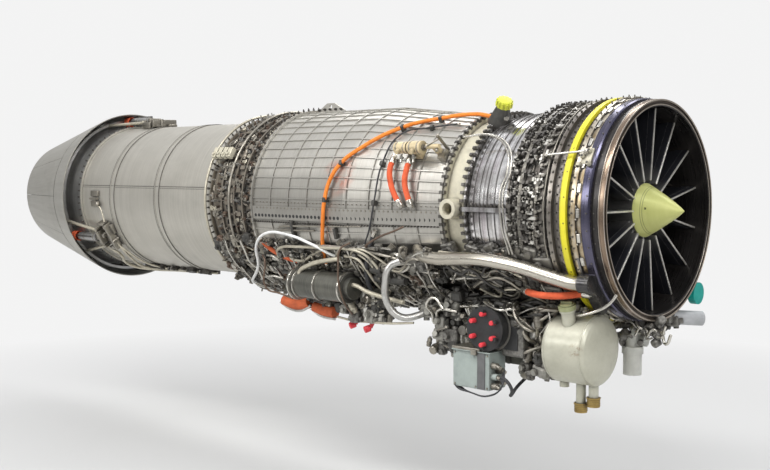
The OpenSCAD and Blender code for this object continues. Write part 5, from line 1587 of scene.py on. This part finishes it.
@dataclass
class Underside:
    """Pipes, cables and small units packed round the gearbox and along the belly of the duct."""

    seed: int = 11
    near_clock: float = 113.0
    far_clock: float = 171.0

    def route(self, rng: random.Random, s0: float, s1: float, a0: float, r0: float) -> list[Vector]:
        """Wandering route along the belly.

        Args:
            rng: Random source.
            s0: First station.
            s1: Last station.
            a0: First clock angle.
            r0: First radius.

        Returns:
            Points in metres.
        """
        points, s, a, r = [], s0, a0, r0
        while s < s1:
            points.append(place(s, r, a))
            s += rng.uniform(40, 95)
            a = max(self.near_clock, min(self.far_clock, a + rng.uniform(-9, 9)))
            r = max(r0 - 8, min(r0 + 8, r + rng.uniform(-8, 8)))
        points.append(place(s1, r, a))
        return points

    def bundles(self, rng: random.Random) -> None:
        """Pipes along the belly and hoops across it."""
        for name, look, count, radius, slot in (
                ("belly_pipes", "bright_pipe", 28, (0.003, 0.0065), "bright_pipe"),
                ("belly_dark", "dark_part", 12, (0.003, 0.006), "pump_casting"),
                ("belly_dull", "dull_pipe", 26, (0.003, 0.007), "bright_pipe"),
                ("belly_cream", "cream_pipe", 14, (0.003, 0.006), "bright_pipe")):
            tubes = []
            for _ in range(count):
                front = rng.random() < 0.45
                s0 = rng.uniform(250, 620) if front else rng.uniform(700, 1500)
                s1 = min(s0 + rng.uniform(160, 480), 700 if front else 2050)
                r0 = rng.uniform(392, 420) if front else rng.uniform(414, 432)
                tubes.append((self.route(rng, s0, s1, rng.uniform(112, 168), r0), rng.uniform(*radius)))
            finish(Bench.tubes(name, tubes), look)
        around = []
        for _ in range(26):
            s = rng.uniform(260, 2040)
            r = 404 if s < 700 else 424 + rng.uniform(0, 18)
            first = rng.uniform(112, 134)
            points = [place(s + rng.uniform(-6, 6), r + rng.uniform(-5, 5), a)
                      for a in range(int(first), int(first + rng.uniform(30, 80)), 7)]
            around.append((points, rng.uniform(0.003, 0.006)))
        finish(Bench.tubes("belly_hoops", around), "bright_pipe")

    def units(self, rng: random.Random) -> None:
        """Cans on necks and clips along the belly."""
        units = []
        for _ in range(22):
            s, a = rng.uniform(720, 2030), rng.uniform(122, 170)
            length, thick = rng.uniform(40, 90), rng.uniform(0.010, 0.018)
            r = 402 + thick / MM + rng.uniform(2, 14)
            middle = s + length * 0.5
            units.append(Bench.rod("unit", place(s, r, a), place(s + length, r, a), thick, 16, edge=thick * 0.2))
            units.append(Bench.post("neck", middle, a, 398, r, thick * 0.4, 8))
        dress("belly_units", units, "dark_part")
        clips = []
        for _ in range(150):
            s, a = rng.uniform(720, 2030), rng.uniform(106, 172)
            clips.append(stand(s, 404 + rng.uniform(0, 26), max(112.0, a), rng.uniform(0, TURN)))
        finish(Bench.copies("belly_clips", Stock.bracket(0.026, 0.020, 0.024), clips), "dull_pipe")

    def build(self) -> None:
        """Builds the bundles, the units and the castings."""
        rng = random.Random(self.seed)
        self.bundles(rng)
        self.units(rng)
        for name, stations, clocks, radius in (("belly", (722.0, 2030.0), (113.0, 176.0), lambda s: 403.0),
                                               ("case", (232.0, 700.0), (112.0, 176.0), lambda s: 384.0 - s * 0.05)):
            for kind, template, count, look in (
                    ("cast", Stock.casting(0.062, 0.044, 0.026), 90, "gear_cast"),
                    ("grey", Stock.casting(0.050, 0.038, 0.026), 80, "cast_rough"),
                    ("dark", Stock.casting(0.050, 0.030, 0.018), 50, "dark_part"),
                    ("cans", Stock.can(0.060, 0.012), 70, "dull_pipe"),
                    ("small", Stock.can(0.036, 0.010), 110, "bright_pipe"),
                    ("brown", Stock.casting(0.040, 0.026, 0.022), 50, "brown_part")):
                piece = Stock.scatter(f"{name}_{kind}", template, count, stations, clocks, radius, rng)
                finish(piece, look)


@dataclass(frozen=True)
class Hose:
    """One sleeved hose: its finish, its radius in millimetres and its route."""

    name: str
    look: str
    radius: float
    route: tuple[Point, ...]


HOSES = (
    Hose("orange", "sleeve_orange", 8.0, (
        (560, 372, 26), (640, 376, 23), (704, 384, 22), (860, 386, 27), (993, 400, 39), (1148, 415, 58),
        (1206, 419, 66), (1242, 421, 75), (1263, 422, 87), (1282, 422, 101), (1315, 422, 116), (1325, 430, 126))),
    Hose("sleeve_a", "sleeve_red", 11.0, (
        (948, 400, 63), (944, 406, 69), (928, 406, 76), (898, 402, 84), (880, 394, 88))),
    Hose("sleeve_b", "sleeve_red", 11.0, (
        (868, 394, 63), (866, 398, 69), (862, 398, 76), (842, 394, 84), (834, 388, 88))),
    Hose("rust", "sleeve_rust", 9.0, ((1700, 418, 113), (1650, 424, 118), (1560, 430, 123), (1490, 422, 126))),
    Hose("white", "sleeve_white", 6.0, (
        (1958, 403, 150), (1910, 440, 147), (1860, 468, 140), (1735, 460, 126), (1700, 452, 114),
        (1629, 445, 107), (1484, 440, 107), (1346, 440, 112), (1243, 430, 119), (1210, 418, 121))),
    Hose("black", "sleeve_black", 3.5, (
        (760, 370, 30), (865, 380, 36), (981, 393, 44), (1003, 396, 65), (1010, 400, 88), (1041, 404, 103),
        (1080, 410, 112))),
    Hose("dark", "sleeve_black", 9.0, ((1020, 402, 105), (1060, 420, 116), (1100, 445, 129), (1110, 470, 140))),
    Hose("fire", "sleeve_red", 12.0, (
        (99.3, 418, 131), (125, 420, 131), (165, 448, 129), (240, 464, 128), (300, 452, 129), (345, 430, 131))),
)


@dataclass
class Hoses:
    """Sleeved hoses and cables with their clamps and end fittings, on the routes of the solids."""

    clamps: tuple[Point, ...] = ((860, 386, 27), (993, 400, 39), (1206, 419, 66), (1263, 422, 87), (865, 380, 36),
                                 (1003, 396, 65), (1010, 400, 88))
    loop: tuple[Point, ...] = ((-459.7, -330, -605), (-430, -330, -607), (-402, -326, -640), (-425, -300, -670),
                               (-440, -240, -650), (-430, -180, -610), (-425, -150, -580.4))

    def build(self) -> None:
        """Builds the hoses."""
        fittings = []
        for hose in HOSES:
            points = trail(hose.route)
            radius = hose.radius * MM
            piece = Bench.tube("hose_" + hose.name, points, radius, 20)
            finish(piece, hose.look)
            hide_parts("hoses")
            for end, towards in ((points[0], points[1]), (points[-1], points[-2])):
                way = (towards - end).normalized()
                fittings += [Bench.rod("collar", end - way * radius * 0.9, end + way * radius * 1.6, radius * 1.16,
                                       20, edge=radius * 0.15),
                             Bench.rod("hex", end - way * radius * 1.7, end - way * radius * 0.8, radius * 1.1, 6)]
        dress("hose_fittings", fittings, "bright_pipe")
        cable = Bench.tube("braided_cable", spots_mm(self.loop), 0.0062, 16)
        finish(cable, "sleeve_black")
        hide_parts("hoses")
        saddles = []
        for s, r, a in self.clamps:
            skin = Duct.skin(s) + 5.2
            saddles += [Bench.block("saddle", place(s, (r + skin) / 2, a), (0.014, 0.020, (r - skin + 9) * MM), a,
                                    0.002),
                        Bench.block("strap", place(s, r, a), (0.016, 0.022, 0.020), a, 0.005, 3)]
        finish(Bench.join("hose_clamps", saddles), "dark_part")


@dataclass
class BellyPipes:
    """The pipes, wrapped pieces and caps that stand out on the near side of the belly."""

    def build(self) -> None:
        """Builds the pieces."""
        self.pipes()
        self.drum()
        self.wraps()

    def pipes(self) -> None:
        """The single pipes that the eye can follow."""
        bright = [
            (trail([(1560, 420, 123), (1536, 428, 123.4), (1465, 428, 124.2), (1389, 428, 119.6),
                    (1325, 428, 116.1), (1261, 428, 114.1), (1180, 426, 113.9)]), 0.0068),
            (spots_mm([(-1439, -370, -339), (-1441, -392, -314), (-1444, -392, -284), (-1398, -392, -256),
                       (-1326, -392, -234), (-1268, -392, -224), (-1210, -385, -215)]), 0.0098),
            (trail([(1602, 436, 122), (1592, 436, 118), (1579, 436, 116.4), (1537, 436, 114.8),
                    (1447, 436, 114.1), (1335, 436, 113.7), (1226, 436, 113.3), (1162, 436, 113.2),
                    (1095, 436, 114.3), (1051, 436, 117.3), (1027, 436, 123.2), (1015, 436, 131.6)]), 0.0062),
            (trail([(1190, 430, 118.2), (1108, 440, 119.2), (1090, 440, 124.4), (1082, 440, 133.5),
                    (1076, 440, 145)]), 0.0062),
            (trail([(1160, 424, 121), (1123, 430, 124.9), (1098, 430, 132.9), (1077, 430, 141)]), 0.0052),
            (trail([(1130, 424, 116), (1062, 432, 121), (1046, 436, 131), (1042, 436, 142)]), 0.0052),
            (spots_mm([(-1240, -350, -332), (-1210, -370, -324), (-1146, -370, -319), (-1068, -370, -341),
                       (-984, -370, -354), (-880, -370, -366)]), 0.0085),
            (spots_mm([(-1314, -300, -470), (-1215, -300, -477), (-1135, -300, -474), (-1019, -300, -468),
                       (-900, -290, -455)]), 0.0048),
            (trail([(1925, 412, 118.6), (1880, 416, 118.6), (1821, 418, 118.4), (1778, 418, 120.5)]), 0.004),
            (trail([(1930, 410, 123.6), (1850, 418, 122.4), (1788, 418, 122.7), (1730, 422, 124)]), 0.004),
            (trail([(1940, 410, 128.6), (1860, 418, 129.4), (1790, 420, 128.7), (1720, 424, 131)]), 0.005),
        ]
        finish(Bench.tubes("belly_main_pipes", bright, 12), "cream_pipe")
        thin = [(spots_mm([(-1690, -385, -228), (-1658, -400, -249), (-1662, -390, -368), (-1607, -360, -390),
                           (-1544, -340, -409)]), 0.0042),
                (spots_mm([(-1130, -410, -146), (-1169, -425, -171), (-1182, -425, -245), (-1182, -420, -323),
                           (-1178, -395, -391), (-1179, -350, -441)]), 0.0040),
                (trail([(850, 412, 100), (869, 440, 101.3), (939, 440, 104.2), (988, 440, 106.7),
                        (1042, 440, 110.5), (1060, 414, 113)]), 0.0042)]
        finish(Bench.tubes("belly_brown_pipes", thin, 10), "brown_part")
        elbow = spots_mm([(-880, -395, -205), (-907, -420, -225), (-925, -425, -282), (-923, -415, -368),
                          (-890, -380, -420), (-852, -320, -418), (-820, -240, -380)])
        finish(Bench.tube("belly_elbow", elbow, 0.014, 16), "edge_bright")

    def drum(self) -> None:
        """The cream drum and the two red cups on their stubs."""
        y = -330
        rings = [Bench.rod("drum", mm(x0, y, z0), mm(x1, y, z1), radius, 20, edge=0.0015)
                 for x0, z0, x1, z1, radius in ((-1228, -366, -1179, -441, 0.0135),
                                                (-1192, -421, -1186, -431, 0.0165),
                                                (-1222, -375, -1217, -383, 0.0158))]
        rings.append(Bench.rod("stub", mm(-1240, -320, -338), mm(-1226, y, -368), 0.006, 12))
        dress("belly_drum", rings, "cream_pipe")
        cups, stubs = [], []
        for x, z in ((-1220, -487), (-1136, -495)):
            cups += [Bench.rod("cup", mm(x, -288, z - 4), mm(x - 12, -310, z - 12), 0.014, 20, edge=0.003),
                     Bench.rod("neck", mm(x + 8, -278, z + 22), mm(x, -288, z - 4), 0.009, 12)]
            stubs += [Bench.rod("stub", mm(x + 30, -235, z + 150), mm(x + 6, -280, z + 16), 0.010, 12),
                      Bench.block("root", mm(x + 30, -240, z + 130), (0.07, 0.06, 0.06), edge=0.01)]
        dress("belly_red_cups", cups, "cap_red")
        dress("belly_cup_stubs", stubs, "cast_rough")

    def wraps(self) -> None:
        """The orange wrapped pieces with their edges, the rims of the pump and the arms over it."""
        wraps = (((-1648, -296, -428), (-1600, -296, -438), (-1530, -296, -438), (-1484, -296, -424)),
                 ((-1452, -296, -440), (-1407, -296, -450), (-1330, -296, -456)))
        edges = (((-1664, -306, -436), (-1600, -306, -462), (-1526, -306, -462), (-1470, -306, -434)),
                 ((-1470, -306, -448), (-1407, -306, -474), (-1322, -306, -480)))
        for name, routes, radius, sides, look, slot in (
                ("belly_wraps", wraps, 0.024, 18, "sleeve_rust", "orange_sleeve"),
                ("belly_wrap_edges", edges, 0.006, 10, "edge_bright", "bright_pipe")):
            finish(Bench.tubes(name, [(spots_mm(q), radius) for q in routes], sides), look)
        rims = [Bench.rod("rim", mm(x, *PUMP_AXIS), mm(x + w, *PUMP_AXIS), r, 48, edge=0.001)
                for x, w, r in ((-1486, 7, 0.0722), (-1462, 4, 0.0665), (-1340, 5, 0.0665), (-1196, 8, 0.0668))]
        dress("pump_rims", rims, "bright_pipe")
        arms = [Bench.rod("arm", *trail(ends), radius, 10, tip) for ends, radius, tip in (
            (((1586, 412, 122), (1601, 440, 139)), 0.011, 0.6), (((1640, 412, 118), (1560, 432, 128)), 0.008, 0.7),
            (((1500, 405, 126), (1470, 440, 134)), 0.009, 0.7))]
        dress("belly_arms", arms, "gear_cast")


@dataclass
class Cluster:
    """Castings, cans and pipes packed into a box-shaped space, given in millimetres."""

    name: str
    low: Point
    high: Point
    units: int
    pipes: int
    seed: int

    def spot(self, rng: random.Random) -> Vector:
        """Random point of the space, in metres."""
        return Vector([rng.uniform(a, b) * MM for a, b in zip(self.low, self.high)])

    def build(self) -> None:
        """Builds the pieces."""
        rng = random.Random(self.seed)
        for look in ("cast_rough", "gear_light", "dull_pipe", "dark_part", "bit_light"):
            round_part = look in ("dull_pipe", "bit_light")
            template = Stock.can(0.050, 0.014) if round_part else Stock.casting(0.050, 0.038, 0.032)
            spots = []
            for _ in range(max(2, self.units // 4)):
                turn = Euler([math.radians(rng.choice((0, 90, 180, 270)) + rng.uniform(-14, 14)) for _ in range(3)])
                spots.append(Matrix.Translation(self.spot(rng)) @ turn.to_matrix().to_4x4() @
                             Matrix.Scale(rng.uniform(0.6, 1.3), 4))
            finish(Bench.copies(f"{self.name}_{look}", template, spots), look)
        for number, look in enumerate(("bright_pipe", "dull_pipe", "cream_pipe")):
            tubes = []
            for _ in range(self.pipes):
                points = [self.spot(rng)]
                for _ in range(rng.randint(2, 5)):
                    points.append(points[-1].lerp(self.spot(rng), 0.45))
                tubes.append((points, rng.uniform(0.003, 0.008)))
            finish(Bench.tubes(f"{self.name}_pipes_{number}", tubes), look)


@dataclass
class GearboxDetail:
    """Pipes, bosses, window and filled-in clusters round the gearbox housing."""

    clusters: tuple[Cluster, ...] = (
        Cluster("fill_left", (-835.0, -262.0, -560.0), (-675.0, -190.0, -330.0), 46, 9, 3),
        Cluster("fill_under", (-700.0, -262.0, -500.0), (-600.0, -200.0, -350.0), 16, 5, 4),
        Cluster("fill_mid", (-395.0, -280.0, -600.0), (-300.0, -200.0, -380.0), 26, 7, 9),
        Cluster("belly_low", (-1285.0, -300.0, -462.0), (-1052.0, -240.0, -365.0), 44, 9, 21),
        Cluster("belly_wrap", (-1640.0, -292.0, -430.0), (-1320.0, -250.0, -395.0), 26, 6, 22),
        Cluster("tube_end", (-120.0, 135.0, -425.0), (-58.0, 205.0, -392.0), 10, 3, 33),
        Cluster("fill_front", (-340.0, -250.0, -400.0), (-110.0, -200.0, -350.0), 22, 5, 12))

    def build(self) -> None:
        """Builds the pieces."""
        rng = random.Random(23)
        bosses = []
        for _ in range(26):
            x, z = rng.uniform(-0.68, -0.34), rng.uniform(-0.56, -0.44)
            if abs(x - PAD_X) < 0.085:
                continue
            r, h = rng.uniform(0.010, 0.024), rng.uniform(0.02, 0.09)
            bosses.append(Bench.rod("boss", Vector((x, -0.180, z)), Vector((x, -0.185 - h, z)), r, 14, edge=0.003))
        dress("gear_bosses", bosses, "gear_cast")
        for name, look, count in (("gear_pipes", "bright_pipe", 16), ("gear_dull", "dull_pipe", 14),
                                  ("gear_dark", "dark_part", 14)):
            tubes = [(self.wander(rng), rng.uniform(0.003, 0.008)) for _ in range(count)]
            finish(Bench.tubes(name, tubes), look)
        for name, centre, size, edge, look in (
                ("housing", (-0.420, -0.262, -0.462), (0.098, 0.076, 0.136), 0.008, "cast_rough"),
                ("window", (-0.424, -0.3005, -0.462), (0.060, 0.006, 0.086), 0.002, "cover_black")):
            finish(Bench.block(name, Vector(centre), size, edge=edge), look)
        for cluster in self.clusters:
            cluster.build()

    @staticmethod
    def wander(rng: random.Random) -> list[Vector]:
        """Random route over the housing that keeps clear of the round pad."""
        x, y, z = rng.uniform(-0.74, -0.28), rng.uniform(-0.30, -0.16), rng.uniform(-0.44, -0.36)
        points = [Vector((x, y, z))]
        for _ in range(rng.randint(3, 6)):
            x = max(-0.80, min(-0.22, x + rng.uniform(-0.10, 0.10)))
            y = max(-0.33, min(-0.12, y + rng.uniform(-0.06, 0.06)))
            lowest = -0.52 if abs(x - PAD_X) > 0.1 else -0.36
            z = max(lowest, min(-0.34, z + rng.uniform(-0.06, 0.06)))
            points.append(Vector((x, y, z)))
        return points


# ------------------------------------------------------------------ stage, eye
@dataclass
class Studio:
    """Camera, floor, world and lamps."""

    focal_px: float = 1034.8
    width_px: float = 770.0
    yaw: float = 0.748
    pitch: float = 0.0626
    eye: Point = (1.7521, -3.3124, 0.1415)
    floor_z: float = -1.20
    sensor: float = 36.0

    def camera(self) -> None:
        """Puts the camera at the photograph's place."""
        sy, cy, sp, cp = math.sin(self.yaw), math.cos(self.yaw), math.sin(self.pitch), math.cos(self.pitch)
        back = Vector((sy * cp, -cy * cp, sp))
        right = Vector((cy, sy, 0.0))
        up = back.cross(right)
        data = bpy.data.cameras.new("eye")
        data.sensor_width = self.sensor
        data.lens = self.focal_px / self.width_px * self.sensor
        data.clip_end = 200.0
        cam = bpy.data.objects.new("eye", data)
        bpy.context.scene.collection.objects.link(cam)
        cam.matrix_world = Matrix((
            (right.x, up.x, back.x, self.eye[0]), (right.y, up.y, back.y, self.eye[1]),
            (right.z, up.z, back.z, self.eye[2]), (0.0, 0.0, 0.0, 1.0)))
        bpy.context.scene.camera = cam

    def floor(self) -> None:
        """Lays the pale floor."""
        Bench.clear()
        bpy.ops.mesh.primitive_plane_add(size=80.0, location=(0.0, 0.0, self.floor_z))
        obj = Bench.settle("floor")
        obj.data.materials.append(material("floor_pale"))

    def world(self) -> None:
        """Soft surroundings: white to the eye, brighter above for the light."""
        scene = bpy.context.scene
        scene.view_settings.view_transform = "Standard"
        world = bpy.data.worlds.new("surroundings")
        scene.world = world
        g = Graph(world)
        height = g.add("ShaderNodeTexCoord", {}, {}, "Generated")
        height = g.add("ShaderNodeSeparateXYZ", {}, [height], "Z")
        ramp = g.add("ShaderNodeValToRGB", {}, [height * 0.5 + 0.5])
        stops = ramp.socket.node.color_ramp.elements
        stops[0].position, stops[0].color = 0.30, (0.10, 0.10, 0.10, 1)
        stops[1].position, stops[1].color = 0.92, (0.95, 0.96, 1.0, 1)
        for spot, tone in ((0.46, 0.22), (0.52, 0.42), (0.60, 0.30), (0.72, 0.62)):
            stops.new(spot).color = (tone, tone, tone, 1)
        soft = g.add("ShaderNodeBackground", {}, {"Color": ramp, "Strength": 0.9})
        white = g.add("ShaderNodeBackground", {}, {"Color": (WHITE, WHITE, WHITE), "Strength": 1.0})
        camera = g.add("ShaderNodeLightPath", {}, {}, "Is Camera Ray")
        g.end("ShaderNodeOutputWorld", g.add("ShaderNodeMixShader", {}, [camera, soft, white]))

    def lamps(self) -> None:
        """Hangs soft ceiling lamps and a fill."""
        for name, spot, aim, size, power in (
            ("ceiling_near", (-0.6, -2.6, 3.4), (-1.4, 0.0, 0.0), (5.0, 0.7), 150.0),
            ("ceiling_far", (-1.8, 2.2, 3.4), (-1.6, 0.0, 0.0), (6.0, 0.9), 110.0),
            ("front", (3.2, -1.8, 1.6), (0.0, 0.0, 0.0), (1.6, 1.6), 45.0),
            ("side", (-2.6, -4.6, 1.4), (-1.8, 0.0, -0.1), (3.0, 1.0), 70.0),
        ):
            data = bpy.data.lights.new(name, "AREA")
            data.shape = "RECTANGLE"
            data.size, data.size_y = size
            data.energy = power
            lamp = bpy.data.objects.new(name, data)
            bpy.context.scene.collection.objects.link(lamp)
            lamp.location = spot
            lamp.rotation_euler = (Vector(aim) - Vector(spot)).to_track_quat("-Z", "Y").to_euler()


def main() -> None:
    """Builds everything in order."""
    studio = Studio()
    studio.camera()
    studio.floor()
    studio.world()
    studio.lamps()
    dress_solids()
    for part in (Intake(), FrameDetail(), GoldCase(), LeverRows(), SplitLine(), Duct(), AftRing(),
                 TopSide(), ValveDetail(), PipeSeams(), ActuatorDetail(), TankDetail(), BoxDetail(), PadDetail(),
                 Hoses(), Underside(), BellyPipes(), GearboxDetail()):
        part.build()


if __name__ == "__main__":
    main()
